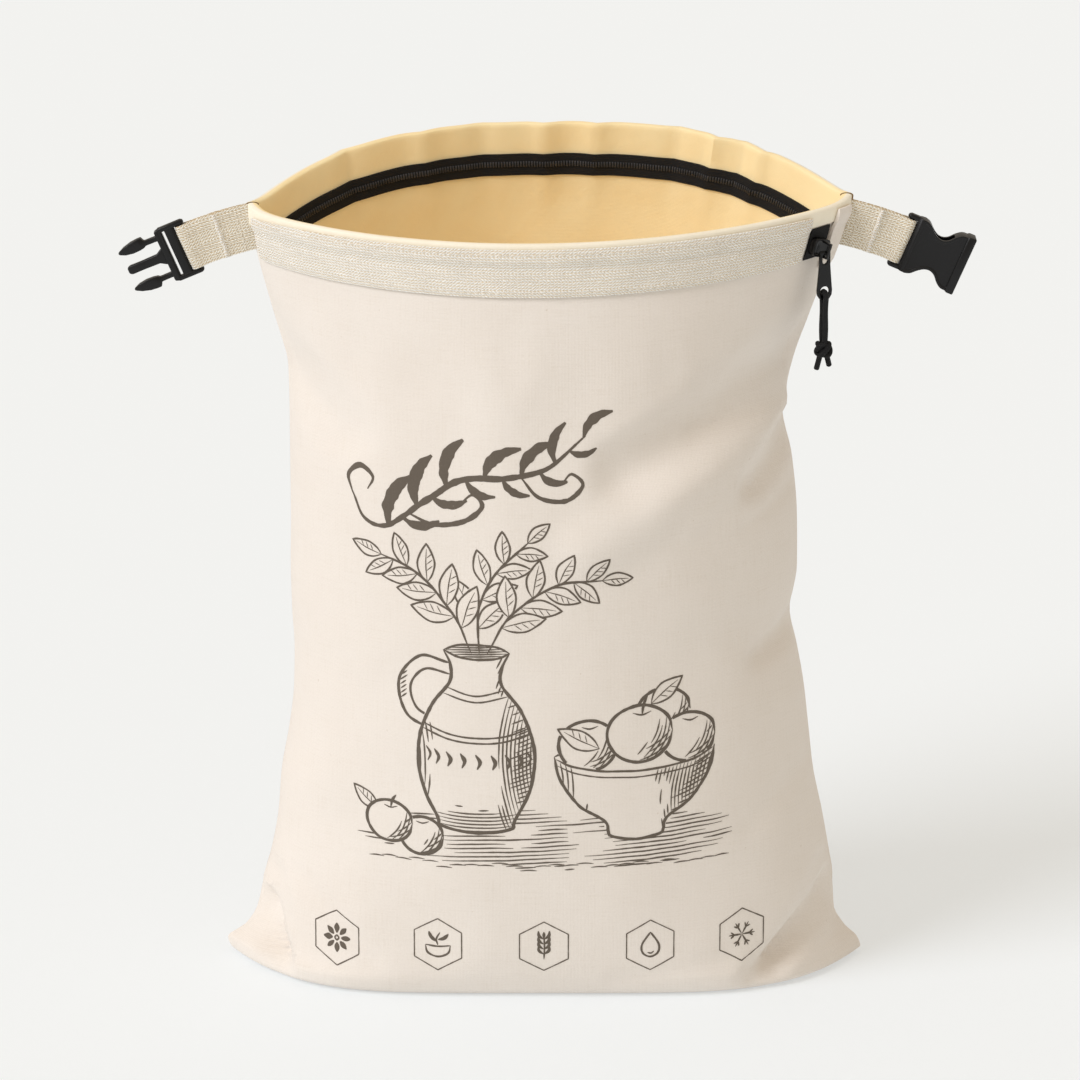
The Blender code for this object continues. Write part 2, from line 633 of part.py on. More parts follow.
def cord_knot(finish):
    """Overhand knot of the doubled cord with its two tails."""
    _, knot_top = cord_places()
    half_t, half_n, half_z = KNOT_HALF
    middle = knot_top - half_z
    ball = bmesh.new()
    bmesh.ops.create_uvsphere(ball, u_segments=16, v_segments=10, radius=1.0)
    for vertex in ball.verts:
        turn = math.atan2(vertex.co.y, vertex.co.x) + 2.2 * vertex.co.z
        lump = 1.0 + 0.10 * math.cos(2 * turn) * (1.0 - vertex.co.z ** 2)
        vertex.co = Vector((vertex.co.x * half_t * lump, vertex.co.y * half_n * lump,
                            middle + vertex.co.z * half_z))
    tails = []
    for lean, drop in ((-TAIL_LEAN, TAIL_LONG), (TAIL_LEAN, TAIL_LONG + 1.5)):
        tail = bmesh.new()
        bmesh.ops.create_cone(tail, cap_ends=True, segments=8, radius1=CORD_THICK / 2,
                              radius2=CORD_THICK / 2, depth=drop)
        turn = Matrix.Rotation(math.radians(-lean), 4, "Y")
        start = Matrix.Translation((math.copysign(1.7, lean), 0.0, middle - 2.5))
        bmesh.ops.transform(tail, matrix=start @ turn @ Matrix.Translation((0, 0, -drop / 2)),
                            verts=tail.verts)
        tails.append(tail)
    mesh = combined(ball, tails)
    bmesh.ops.transform(mesh, matrix=pull_frame(), verts=mesh.verts)
    return solid("cord_knot", mesh, finish)


def main():
    for old in list(bpy.data.objects):
        bpy.data.objects.remove(old)
    canvas = material("natural_canvas", (0.80, 0.73, 0.62), 0.9)
    coated = material("coated_lining", (0.86, 0.78, 0.50), 0.6)
    webbing = material("cotton_webbing", (0.74, 0.67, 0.55), 0.9)
    tape = material("zip_tape", (0.02, 0.02, 0.022), 0.8)
    moulded = material("black_acetal", (0.03, 0.03, 0.033), 0.4)
    enamel = material("black_enamelled_zinc", (0.02, 0.02, 0.022), 0.3, 0.6)
    cord = material("black_cord", (0.02, 0.02, 0.022), 0.8)
    left, right = STRAPS
    canvas_body(canvas)
    lining(coated)
    rim_webbing(webbing)
    side_tab(canvas)
    for strap in STRAPS:
        strap_loop(strap, webbing)
    buckle_prongs(left, moulded)
    buckle_socket(right, moulded)
    zip_tape("zip_tape_back", TAPE_FROM, TAPE_TO, tape)
    zip_tape("zip_tape_front", -TAPE_TO, -TAPE_FROM, tape)
    zip_end(tape)
    zip_slider(enamel)
    zip_pull(enamel)
    pull_cord(cord)
    cord_knot(cord)


main()
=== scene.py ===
# Looks of the bread bag: its cloth, printed ornament, webbing, buckle and zip, round the packed
# part. Lengths in the tables are millimetres, with x measured from the bag's own middle. A mesh is
# turned into metres when it is made.
import bisect
from math import atan2, copysign, cos, degrees, dist, hypot, pi, radians, sin

import bmesh
import bpy
from mathutils import Matrix, Vector, noise


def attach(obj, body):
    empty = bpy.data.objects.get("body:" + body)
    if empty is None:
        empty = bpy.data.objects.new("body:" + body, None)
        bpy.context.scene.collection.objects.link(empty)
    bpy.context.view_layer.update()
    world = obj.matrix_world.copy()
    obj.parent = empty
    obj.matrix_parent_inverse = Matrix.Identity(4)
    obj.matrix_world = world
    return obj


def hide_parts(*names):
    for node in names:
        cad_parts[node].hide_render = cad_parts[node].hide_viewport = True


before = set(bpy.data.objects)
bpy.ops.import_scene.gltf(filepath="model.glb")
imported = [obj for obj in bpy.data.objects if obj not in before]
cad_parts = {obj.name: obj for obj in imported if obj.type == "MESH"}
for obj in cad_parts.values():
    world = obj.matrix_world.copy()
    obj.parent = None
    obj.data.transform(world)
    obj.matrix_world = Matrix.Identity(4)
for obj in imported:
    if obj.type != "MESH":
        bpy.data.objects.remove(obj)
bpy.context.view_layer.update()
mm = 0.001
middleX = 3.4               # the middle of the part's width, which is x = 0 in the frame


def say(words):
    print("bread bag:", words)


def inFrame(point):
    return Vector((point[0] - middleX, point[1], point[2])) * mm


def blendOf(a, b, share):
    return a + (b - a) * share


def smooth(share):
    share = min(1, max(0, share))
    return share * share * (3 - 2 * share)


def evenly(a, b, count):
    return [blendOf(a, b, n / count) for n in range(count + 1)]


def curveAt(p, q, r, s, t):
    # a smooth line from q to r, on its way from p to s; works on numbers and on places
    return 0.5 * (2 * q + (r - p) * t + (2 * p - 5 * q + 4 * r - s) * t * t
                  + (3 * q - p - 3 * r + s) * t ** 3)


# Camera, floor and light
studio = {
    "target": (-5, 0, 239),
    "distance": 3200,
    "elevation": 18,
    "lens": 197.3,              # on a 36 mm sensor
    "floorSize": 24,          # metres
    "skyColour": "#FFF3E2",
    "skyLow": 0.36,
    "skyHigh": 0.76,
    "keyColour": "#F6F8FF",
    "keyStrength": 1.69,
    "keyTurn": (55, 0, -58),
    "keySpread": 30,          # degrees across, as from a large soft box
}


def makeStudio():
    elevation = radians(studio["elevation"])
    back = Vector((0, -cos(elevation), sin(elevation)))
    camera = bpy.data.objects.new("camera", bpy.data.cameras.new("camera"))
    bpy.context.scene.collection.objects.link(camera)
    camera.data.lens = studio["lens"]
    camera.data.sensor_width = 36
    camera.location = (Vector(studio["target"]) + back * studio["distance"]) * mm
    camera.rotation_euler = (-back).to_track_quat("-Z", "Y").to_euler()
    camera.data.clip_end = 60
    bpy.context.scene.camera = camera
    world = bpy.data.worlds.new("soft_sky")
    world.use_nodes = True
    world.node_tree.nodes.clear()
    level = addNode(world, "TexCoord", {}, "Generated")
    high = addNode(world, "SeparateXYZ", {0: level}, 2)
    light = addNode(world, "MapRange", {
        0: high, 1: -0.2, 2: 0.9, 3: studio["skyLow"], 4: studio["skyHigh"]})
    glow = addNode(world, "Background", {
        "Color": linear(studio["skyColour"]), "Strength": light})
    addNode(world, "OutputWorld", {"Surface": glow})
    bpy.context.scene.world = world
    key = bpy.data.objects.new("key_light", bpy.data.lights.new("key_light", "SUN"))
    bpy.context.scene.collection.objects.link(key)
    key.data.energy = studio["keyStrength"]
    key.data.angle = radians(studio["keySpread"])
    key.data.color = linear(studio["keyColour"])[:3]
    key.rotation_euler = [radians(turn) for turn in studio["keyTurn"]]
    bpy.context.scene.view_settings.view_transform = "Standard"
    bpy.ops.mesh.primitive_plane_add(size=studio["floorSize"], location=(0, 0, -0.0003))
    floor = bpy.context.active_object
    floor.name = "studio_floor"
    floor.data.materials.append(paperFloor())


# Materials. Colours are what the eye sees, as hex; sizes are real millimetres
def linear(hexColour):
    values = []
    for n in (1, 3, 5):
        share = int(hexColour[n:n + 2], 16) / 255
        values.append(share / 12.92 if share <= 0.04045 else ((share + 0.055) / 1.055) ** 2.4)
    return (*values, 1)


def addNode(owner, kind, inputs, out=0, **settings):
    # a new node with its inputs set or linked; gives back one of its outputs
    node = owner.node_tree.nodes.new("ShaderNode" + kind)
    for name, value in settings.items():
        setattr(node, name, value)
    for socket, value in inputs.items():
        if isinstance(value, bpy.types.NodeSocket):
            owner.node_tree.links.new(value, node.inputs[socket])
        else:
            node.inputs[socket].default_value = value
    return node.outputs[out] if node.outputs else None


def newMaterial(name):
    material = bpy.data.materials.new(name)
    material.use_nodes = True
    material.node_tree.nodes.clear()
    return material


def addSurface(material, colour, rough, gloss, relief, more={}):
    # relief is the height that shapes the surface, its depth in millimetres and its strength
    inputs = {"Base Color": colour, "Roughness": rough, "Specular IOR Level": gloss, **more}
    if relief:
        height, depth, strength = relief
        inputs["Normal"] = addNode(material, "Bump", {
            "Height": height, "Distance": depth * mm, "Strength": strength})
    shader = addNode(material, "BsdfPrincipled", inputs)
    addNode(material, "OutputMaterial", {"Surface": shader})
    return material


def paperFloor():
    # seamless studio paper, matt, with a faint fibre grain; lit from behind so that shadows stay
    # pale
    material = newMaterial("seamless_paper")
    place = addNode(material, "TexCoord", {}, "Object")
    grain = addNode(material, "TexNoise", {"Vector": place, "Scale": 900})
    colour = addNode(material, "Mix", {0: grain, 6: linear("#C7CDD1"), 7: linear("#CAD0D4")}, 2,
                     data_type="RGBA")
    return addSurface(material, colour, 0.95, 0.1, None, {
        "Emission Color": linear("#F4F4F4"), "Emission Strength": 0.37})


def onCloth(material):
    # places on the flat cloth, in metres and in millimetres
    place = addNode(material, "UVMap", {}, uv_map="cloth")
    return place, addNode(material, "Mapping", {"Vector": place, "Scale": (1000, 1000, 1000)})


def plainWeave(material, cells):
    # height of a plain weave, one thread to each unit of the cells, over and under by turns
    odd = addNode(material, "TexChecker", {"Vector": cells, "Scale": 1}, 1)
    warp = addNode(material, "TexWave", {"Vector": cells, "Scale": 0.31416}, 1, bands_direction="X")
    weft = addNode(material, "TexWave", {"Vector": cells, "Scale": 0.31416}, 1, bands_direction="Y")
    both = addNode(material, "Math", {0: warp, 1: weft}, operation="MULTIPLY")
    over = addNode(material, "Math", {0: warp, 1: 0.35, 2: both}, operation="MULTIPLY_ADD")
    under = addNode(material, "Math", {0: weft, 1: 0.35, 2: both}, operation="MULTIPLY_ADD")
    return addNode(material, "Mix", {0: odd, 2: over, 3: under})


canvasLook = {"light": "#F2EBE3", "dark": "#EBE2D8", "slub": "#DFD4C5", "fleck": "#CDBFAB"}
inkLook = {"light": "#6E655B", "dark": "#62594F", "slub": "#7A7065", "fleck": "#978C7F"}


def cottonCanvas(look, name):
    # unbleached cotton duck, plain woven: matt, warm, with slubs, faint mottling and a fine grain;
    # the hollows of its weave are painted darker as shade and its crowns a touch lighter.
    # its yarn is drawn at 0.75 mm, a little coarser than the real 0.6, so that it shows
    material = newMaterial(name)
    place, spot = onCloth(material)
    cells = addNode(material, "Mapping", {"Vector": place, "Scale": (1333, 1333, 0)})
    weave = plainWeave(material, cells)
    cloud = addNode(material, "TexNoise", {"Vector": spot, "Scale": 0.02, "Detail": 4})
    upright = addNode(material, "Mapping", {"Vector": spot, "Scale": (1.1, 0.05, 1)})
    level = addNode(material, "Mapping", {"Vector": spot, "Scale": (0.05, 1.1, 1)})
    warpSlub = addNode(material, "TexNoise", {"Vector": upright, "Scale": 1, "Detail": 2})
    weftSlub = addNode(material, "TexNoise", {"Vector": level, "Scale": 1, "Detail": 2})
    yarns = addNode(material, "Math", {0: warpSlub, 1: weftSlub}, operation="ADD")
    streak = addNode(material, "MapRange", {0: yarns, 1: 1.02, 2: 1.42, 3: 0, 4: 0.28})
    grain = addNode(material, "TexNoise", {
        "Vector": spot, "Scale": 0.9, "Detail": 3, "Roughness": 0.75})
    speck = addNode(material, "TexNoise", {"Vector": spot, "Scale": 0.33, "Detail": 2})
    fleck = addNode(material, "MapRange", {0: speck, 1: 0.74, 2: 0.80, 3: 0, 4: 0.5})
    base = addNode(material, "Mix", {
        0: cloud, 6: linear(look["dark"]), 7: linear(look["light"])}, 2, data_type="RGBA")
    base = addNode(material, "Mix", {0: streak, 6: base, 7: linear(look["slub"])}, 2,
                   data_type="RGBA")
    base = addNode(material, "Mix", {0: fleck, 6: base, 7: linear(look["fleck"])}, 2,
                   data_type="RGBA")
    # painted shade of the weave: its hollows darker and its crowns a touch lighter; the real grain
    # is multiplied in below
    weaveShade = addNode(material, "MapRange", {0: weave, 1: 0, 2: 1.1, 3: 0.955, 4: 1.015})
    dust = addNode(material, "MapRange", {0: grain, 1: 0.2, 2: 0.8, 3: 0.955, 4: 1.03})
    tone = addNode(material, "Math", {0: weaveShade, 1: dust}, operation="MULTIPLY")
    colour = addNode(material, "VectorMath", {0: base, "Scale": tone}, operation="SCALE")
    rough = addNode(material, "Math", {0: grain, 1: 0.5, 2: weave}, operation="MULTIPLY_ADD")
    height = addNode(material, "Math", {0: yarns, 1: 0.7, 2: rough}, operation="MULTIPLY_ADD")
    return addSurface(material, colour, 0.92, 0.2, (height, 0.05, 1), {
        "Sheen Weight": 0.12, "Sheen Roughness": 0.5})


# glow is the strength of a painted glow: emission in the cloth's own colour, standing in for light
# coming through it
liningLook = {"light": "#FFEFC2", "dark": "#FBE0A8", "glow": 0.07}
cuffLook = {"light": "#FBF5E6", "dark": "#F6ECD4", "glow": 0.04}


def coatedCotton(look, name):
    # thin cotton with a waterproof coating: pale yellow, satin and faintly crinkled; a faint
    # emission in its own colour paints the glow of light shining through it from outside
    material = newMaterial(name)
    place, spot = onCloth(material)
    cells = addNode(material, "Mapping", {"Vector": place, "Scale": (1600, 1600, 0)})
    weave = plainWeave(material, cells)
    cloud = addNode(material, "TexNoise", {"Vector": spot, "Scale": 0.03, "Detail": 3})
    crinkle = addNode(material, "TexNoise", {
        "Vector": spot, "Scale": 0.16, "Detail": 4, "Roughness": 0.6})
    colour = addNode(material, "Mix", {
        0: cloud, 6: linear(look["dark"]), 7: linear(look["light"])}, 2, data_type="RGBA")
    height = addNode(material, "Math", {0: weave, 1: 0.2, 2: crinkle}, operation="MULTIPLY_ADD")
    rough = addNode(material, "MapRange", {0: crinkle, 1: 0.3, 2: 0.7, 3: 0.40, 4: 0.52})
    # painted glow: the cloth gives off its own colour as light
    return addSurface(material, colour, rough, 0.4, (height, 0.5, 0.6), {
        "Emission Color": colour, "Emission Strength": look["glow"]})


yarnSize = (1.9, 1.5)
# the pit colour of each look is painted shade in the pits of the weave
bandLook = {"light": "#FFFEF9", "pitShade": "#DCC9AA", "relief": 0.30, "chevron": 3}
strapLook = {"light": "#FFFBEE", "pitShade": "#C9B189", "relief": 0.34, "chevron": 4}


def cottonWebbing(look, name):
    # 25 mm cotton webbing, coarse, its ribs slanting to and fro: each thick yarn shows, and the
    # pits between the yarns are painted darker as shade
    material = newMaterial(name)
    spot = onCloth(material)[1]
    cells = addNode(material, "Mapping", {
        "Vector": spot, "Scale": (1 / yarnSize[0], 1 / yarnSize[1], 0)})
    wander = addNode(material, "TexNoise", {"Vector": spot, "Scale": 0.25, "Detail": 2}, 1)
    shift = addNode(material, "VectorMath", {0: wander, "Scale": 0.9}, operation="SCALE")
    cells = addNode(material, "VectorMath", {0: cells, 1: shift}, operation="ADD")
    across = addNode(material, "SeparateXYZ", {0: cells}, 1)
    zigzag = addNode(material, "Math", {0: across, 1: look["chevron"]}, operation="PINGPONG")
    slanted = addNode(material, "CombineXYZ", {0: zigzag})
    cells = addNode(material, "VectorMath", {0: cells, 1: slanted}, operation="ADD")
    weave = plainWeave(material, addNode(material, "VectorMath", {
        0: cells, 1: (1, 1, 0)}, operation="MULTIPLY"))
    fibre = addNode(material, "TexNoise", {
        "Vector": spot, "Scale": 1.6, "Detail": 3, "Roughness": 0.7})
    cloud = addNode(material, "TexNoise", {"Vector": spot, "Scale": 0.06, "Detail": 3})
    # painted shade: the weave's low places take the darker pit colour
    pitShade = addNode(material, "MapRange", {0: weave, 1: 0.02, 2: 0.38, 3: 0, 4: 1})
    base = addNode(material, "Mix", {0: pitShade, 6: linear(look["pitShade"]), 7: linear(look["light"])}, 2,
                   data_type="RGBA")
    fluff = addNode(material, "MapRange", {0: fibre, 1: 0.25, 2: 0.75, 3: 0.90, 4: 1.03})
    worn = addNode(material, "MapRange", {0: cloud, 1: 0.3, 2: 0.7, 3: 0.96, 4: 1.03})
    tone = addNode(material, "Math", {0: fluff, 1: worn}, operation="MULTIPLY")
    colour = addNode(material, "VectorMath", {0: base, "Scale": tone}, operation="SCALE")
    height = addNode(material, "Math", {0: fibre, 1: 0.4, 2: weave}, operation="MULTIPLY_ADD")
    return addSurface(material, colour, 0.9, 0.2, (height, look["relief"], 1), {
        "Sheen Weight": 0.15, "Sheen Roughness": 0.5})


def blackWeave(name, across, along, turn, depth, light):
    # woven or braided black polyester: matt, its threads catching a little light
    material = newMaterial(name)
    spot = onCloth(material)[1]
    turned = addNode(material, "Mapping", {"Vector": spot, "Rotation": (0, 0, turn)})
    cells = addNode(material, "Mapping", {
        "Vector": turned, "Scale": (1 / across, 1 / along, 0)})
    weave = plainWeave(material, cells)
    lint = addNode(material, "TexNoise", {"Vector": spot, "Scale": 0.8, "Detail": 3})
    shine = addNode(material, "Math", {0: weave, 1: lint}, operation="MULTIPLY")
    colour = addNode(material, "Mix", {0: shine, 6: linear("#0A0A0C"), 7: linear(light)}, 2,
                     data_type="RGBA")
    return addSurface(material, colour, 0.75, 0.35, (weave, depth, 1))


def mouldedBlack(name, colours, roughness, grainSize, depth):
    # black moulded or enamelled surface: a fine spark grain breaks up its soft highlight
    material = newMaterial(name)
    place = addNode(material, "TexCoord", {}, "Object")
    grain = addNode(material, "TexNoise", {
        "Vector": place, "Scale": 1 / (grainSize * mm), "Detail": 3})
    wear = addNode(material, "TexNoise", {"Vector": place, "Scale": 90, "Detail": 3})
    colour = addNode(material, "Mix", {0: wear, 6: linear(colours[0]), 7: linear(colours[1])}, 2,
                     data_type="RGBA")
    rough = addNode(material, "MapRange", {
        0: wear, 1: 0.3, 2: 0.7, 3: roughness - 0.05, 4: roughness + 0.06})
    return addSurface(material, colour, rough, 0.34, (grain, depth, 0.5))


def sewingYarn(name, dark, light):
    # twisted cotton sewing thread: its plies show as fine slanting lines, the grooves between them
    # painted darker as shade
    material = newMaterial(name)
    place = addNode(material, "TexCoord", {}, "Object")
    turned = addNode(material, "Mapping", {"Vector": place, "Rotation": (0.6, 0.4, 0.5)})
    ply = addNode(material, "TexWave", {
        "Vector": turned, "Scale": 700, "Distortion": 0.6, "Detail": 1}, 1)
    # painted shade: the ply lines run from the dark colour in the grooves to the light colour on
    # the crowns
    colour = addNode(material, "Mix", {0: ply, 6: linear(dark), 7: linear(light)}, 2,
                     data_type="RGBA")
    return addSurface(material, colour, 0.8, 0.25, (ply, 0.1, 0.8))


# The bag's shape: level sections, each the half widths and half depths of the wall, as in the part.
# flat is how square a side's middle is, point how sharp its ends are, and mouth the share of the
# rim's sag and rise that the level takes.
bag = {
    "canvas": 1.6, "gap": 0.4, "lining": 1,
    "sideShare": 1.3, "frontDrop": 4, "backRise": 27, "cornerTilt": 2.5,
    "cuff": 418, "edge": 425.6, "rim": 427,
    "foldTop": 388, "foldFade": 40, "foldFoot": 15,
    "columns": 240, "rowStep": 4, "innerStep": 12, "round": 720,
    # height, left, right, front, back, flat, point, mouth
    "wall": [
        (0, 166, 169, 61, 61, 5, 1, 0),
        (3, 172, 175.5, 66, 66, 5, 1, 0),
        (9, 174, 173.5, 69.5, 69.5, 5, 1.10, 0),
        (16, 164.5, 166.5, 72.5, 72.5, 4, 0.85, 0),
        (27, 157.5, 160.5, 75.5, 76, 3, 0.62, 0),
        (43, 154.5, 160, 78.5, 79, 2.5, 0.55, 0),
        (62, 149, 157, 81, 82, 2.3, 0.53, 0),
        (84, 145, 153, 83, 84.5, 2.2, 0.53, 0),
        (108, 143, 148, 85, 86, 2.1, 0.53, 0),
        (133, 138.5, 145, 86.5, 87, 2, 0.53, 0),
        (158, 135.5, 142, 87, 87.5, 2, 0.53, 0),
        (180, 135, 138, 87, 87.5, 2, 0.54, 0),
        (200, 136, 134, 87, 87, 2, 0.54, 0),
        (226, 136.5, 137.5, 87, 86.5, 2, 0.55, 0),
        (256, 136, 137, 86.5, 86, 2, 0.56, 0.05),
        (287, 136, 134, 85.5, 85, 2, 0.58, 0.12),
        (314, 136, 128.5, 83.5, 84, 2, 0.61, 0.25),
        (338, 137, 133.5, 81, 82, 2, 0.65, 0.42),
        (361, 142, 141, 78, 79.5, 2, 0.70, 0.62),
        (381, 147, 148, 75, 77, 2, 0.75, 0.80),
        (399, 151.5, 155, 72, 74.5, 2, 0.79, 0.92),
        (411, 154, 159, 70.5, 73, 2, 0.80, 0.97),
        (418, 155, 160.8, 69.7, 72, 2, 0.80, 1),
        (425.6, 155.6, 162.4, 69, 71, 2, 0.80, 1),
        (427, 155.7, 162.6, 68.9, 70.8, 2, 0.80, 1),
    ],
    # the room inside at the base, where the ears are pressed shut
    "hollow": [
        (0, 136, 138, 56, 56, 3, 0.60, 0),
        (4, 143, 146, 61, 61, 3, 0.60, 0),
        (10, 147, 150, 64.5, 64.5, 3, 0.58, 0),
        (17, 149.5, 152.5, 67.5, 67.5, 2.8, 0.57, 0),
        (27.5, 151, 155, 72, 72, 2.6, 0.57, 0),
    ],
    # side (-1 front, 1 back), from x, z, to x, z, half width, depth; a negative depth stands out
    "folds": [
        (-1, 133, 352, 44, 302, 26, 7),
        (-1, 128, 322, 26, 262, 24, -4.5),
        (-1, 138, 316, 112, 286, 13, 5),
        (-1, 142, 200, 118, 189, 12, 4),
        (-1, -150, 362, -108, 316, 22, 4.5),
        (-1, -62, 380, -48, 250, 34, 2.5),
        (-1, 18, 392, 6, 312, 30, 2),
        (-1, -156, 34, -145, 8, 12, 6),
        (-1, 160, 42, 116, 7, 13, 7),
        (-1, -100, 96, -60, 40, 34, 2.5),
        (1, -128, 350, -40, 290, 30, 6),
        (1, 120, 356, 62, 250, 28, 5),
        (1, 10, 400, 0, 260, 36, 3),
        (1, -150, 40, -112, 8, 14, 6),
        (1, 158, 36, 124, 8, 14, 6),
        (1, 96, 150, 30, 70, 34, 3.5),
    ],
    # finer creases, only in the cloth itself
    "creases": [
        (-1, 140, 330, 84, 318, 9, 1.8),
        (-1, 124, 300, 78, 268, 8, -1.3),
        (-1, 134, 276, 108, 262, 7, 1.2),
        (-1, 96, 344, 40, 322, 10, -1),
        (-1, -139, 340, -116, 322, 8, 1),
        (-1, 60, 388, 66, 350, 12, 1),
        (-1, -20, 392, -16, 352, 12, 0.9),
        (-1, -104, 390, -98, 356, 12, 1),
        (-1, -132, 60, -92, 22, 9, 1.2),
        (-1, 153, 60, 124, 12, 9, 2.4),
        (-1, -146, 56, -142, 34, 8, 2.4),
        (-1, -152, 38, -145, 13, 8.5, 5.5),
        (-1, 158, 50, 127, 10, 8.5, 4),
        (-1, 100, 22, 40, 12, 8, 0.8),
        (-1, 140, 118, 112, 96, 10, 1),
        (1, 60, 330, 10, 300, 12, 1.5),
        (1, -90, 120, -40, 84, 12, 1.4),
    ],
    # where the cloth of the back rim breaks: angle round the bag, half width in degrees, depth
    "pleats": [
        (42.3, 3, 3), (47.7, 2.6, -2.4), (53.9, 3.4, 3.8), (62.8, 4.2, -2.7), (79.4, 4.2, 3.6),
        (89.6, 4, 3.8), (102.6, 4.6, -2.6), (115.3, 5, 3), (133.5, 5, -2.4),
    ],
    "pleatDeep": 58, "horns": 3.4, "hornPower": 45, "seamDeep": 1.1,
}
cuffOff = -bag["gap"] - bag["lining"]           # insets of the cuff's face, the lining's two faces
liningOff = bag["canvas"] + bag["gap"]          # and the back of the zip tapes
insideOff = liningOff + bag["lining"]
tapeOff = insideOff + bag["gap"]


def rowSlopes(rows):
    slopes = [[0] * len(rows[0]) for _ in rows]
    for k in range(1, len(rows[0])):
        for n in range(1, len(rows) - 1):
            before = (rows[n][k] - rows[n - 1][k]) / (rows[n][0] - rows[n - 1][0])
            after = (rows[n + 1][k] - rows[n][k]) / (rows[n + 1][0] - rows[n][0])
            if before * after > 0:
                slopes[n][k] = 2 * before * after / (before + after)
        slopes[0][k] = (rows[1][k] - rows[0][k]) / (rows[1][0] - rows[0][0])
    return slopes


wallSlopes = rowSlopes(bag["wall"])


def wallAt(height):
    # the level section at a height, on a smooth curve through the table's rows
    rows = bag["wall"]
    n = 0
    while n < len(rows) - 2 and height > rows[n + 1][0]:
        n += 1
    low, high = rows[n], rows[n + 1]
    span = high[0] - low[0]
    share = min(1, max(0, (height - low[0]) / span))
    a, b = wallSlopes[n], wallSlopes[n + 1]
    keep = (1 + 2 * share) * (1 - share) ** 2
    lead = share * (1 - share) ** 2 * span
    trail = share ** 2 * (share - 1) * span
    row = [keep * low[k] + (1 - keep) * high[k] + lead * a[k] + trail * b[k]
           for k in range(1, len(low))]
    return (height, *row)


def sectionPoint(row, angle, inset):
    height, left, right, front, back, flat, point, mouth = row
    across = cos(radians(angle))
    isFront = sin(radians(angle)) < 0
    half = (right if across > 0 else left) - bag["sideShare"] * inset
    depth = (front if isFront else back) - inset
    out = max(0, 1 - abs(across) ** flat) ** point
    lift = bag["cornerTilt"] * across
    if isFront:
        lift -= bag["frontDrop"] * (1 - across ** 2)
    else:
        lift += bag["backRise"] * (1 - abs(across) ** 3.5)
    return Vector((half * across, -depth * out if isFront else depth * out, height + lift * mouth))


def outward(row, angle):
    turn = 1.5
    along = sectionPoint(row, angle + turn, 0) - sectionPoint(row, angle - turn, 0)
    return Vector((along.y, -along.x, 0)).normalized()


def pressAt(x, z, side):
    total = 0
    for fold in bag["folds"] + bag["creases"]:
        if fold[0] != side:
            continue
        _, fromX, fromZ, toX, toZ, halfWidth, depth = fold
        runX, runZ = toX - fromX, toZ - fromZ
        share = ((x - fromX) * runX + (z - fromZ) * runZ) / (runX ** 2 + runZ ** 2)
        share = min(1, max(0, share))
        away = hypot(x - fromX - runX * share, z - fromZ - runZ * share) / halfWidth
        if away < 1:
            total += depth * (1 - away * away) ** 2
    return total


def pleatPress(angle, height):
    turned = angle % 360
    if not 0 < turned < 180:
        return 0
    fade = smooth(1 - (bag["rim"] - height) / bag["pleatDeep"])
    total = 0
    for middle, halfWidth, depth in bag["pleats"]:
        away = abs(turned - middle) / halfWidth
        if away < 1:
            total += depth * (1 - away) ** 1.5
    return total * fade


def ripple(x, y, z):
    # slow unevenness of hand-sewn cloth
    slow = noise.noise(Vector((x, y * 1.3, z)) / 46)
    quick = noise.noise(Vector((x + 200, y, z * 0.8)) / 17)
    return slow * 0.75 + quick * 0.28


def wallPoint(height, angle, inset=0, room=None):
    row = wallAt(height)
    plain = sectionPoint(row, angle, 0)
    steep = sin(radians(angle))
    side = -1 if steep < 0 else 1
    fade = min(1, max(0, (bag["foldTop"] - height) / bag["foldFade"]), height / bag["foldFoot"])
    seamFade = min(1, abs(steep) / 0.15)
    press = pressAt(plain.x, plain.z, side) * fade * seamFade + pleatPress(angle, height)
    calm = min(1, height / 30) * min(1, abs(steep) / 0.3)
    press += ripple(plain.x, plain.y, plain.z) * calm * (0.35 if height > bag["foldTop"] else 1)
    point = sectionPoint(room or row, angle, inset)
    return point - outward(row, angle) * press


def ringAngles():
    step = 360 / bag["columns"]
    return [180 + step * n for n in range(bag["columns"])]


def wallRing(height, inset=0, lift=0, room=None, horns=0):
    # horns is how far the ring stands up more at the two corners
    ring = []
    for angle in ringAngles():
        rise = lift + horns * abs(cos(radians(angle))) ** bag["hornPower"]
        ring.append(wallPoint(height, angle, inset, room) + Vector((0, 0, rise)))
    return ring


def finePlaces(top):
    # row heights from the floor to the top, closer near the base where the ears turn
    rows = [0, 0.8, 1.8, 3, 4.4, 6, 7.6, 9.2, 11, 13, 15.5, 18.5, 22]
    while rows[-1] + bag["rowStep"] < top - 1:
        rows.append(rows[-1] + bag["rowStep"])
    return rows + [top]


def meshPiece(name, body, material, uv=None):
    # body is points in millimetres and faces; uv is one spot on the cloth for each point, in mm
    points, faces = body
    data = bpy.data.meshes.new(name)
    data.from_pydata([inFrame(point) for point in points], [], faces)
    data.validate()
    if uv:
        layer = data.uv_layers.new(name="cloth")
        for polygon in data.polygons:
            spots = [uv[v] for v in polygon.vertices]
            wide = max(spot[0] for spot in spots)
            for loop, spot in zip(polygon.loop_indices, spots):
                wrap = bag["round"] if len(spots) < 5 and wide - spot[0] > bag["round"] / 2 else 0
                layer.data[loop].uv = ((spot[0] + wrap) * mm, spot[1] * mm)
    piece = bpy.data.objects.new(name, data)
    bpy.context.scene.collection.objects.link(piece)
    data.materials.append(material)
    tidyNormals(data)
    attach(piece, "root")
    return piece


def clothPiece(name, node, rings, spots, material):
    # a piece of cloth that takes a node's place
    piece = meshPiece(name, ringSkin(rings), material, spots)
    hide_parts(node)
    return piece


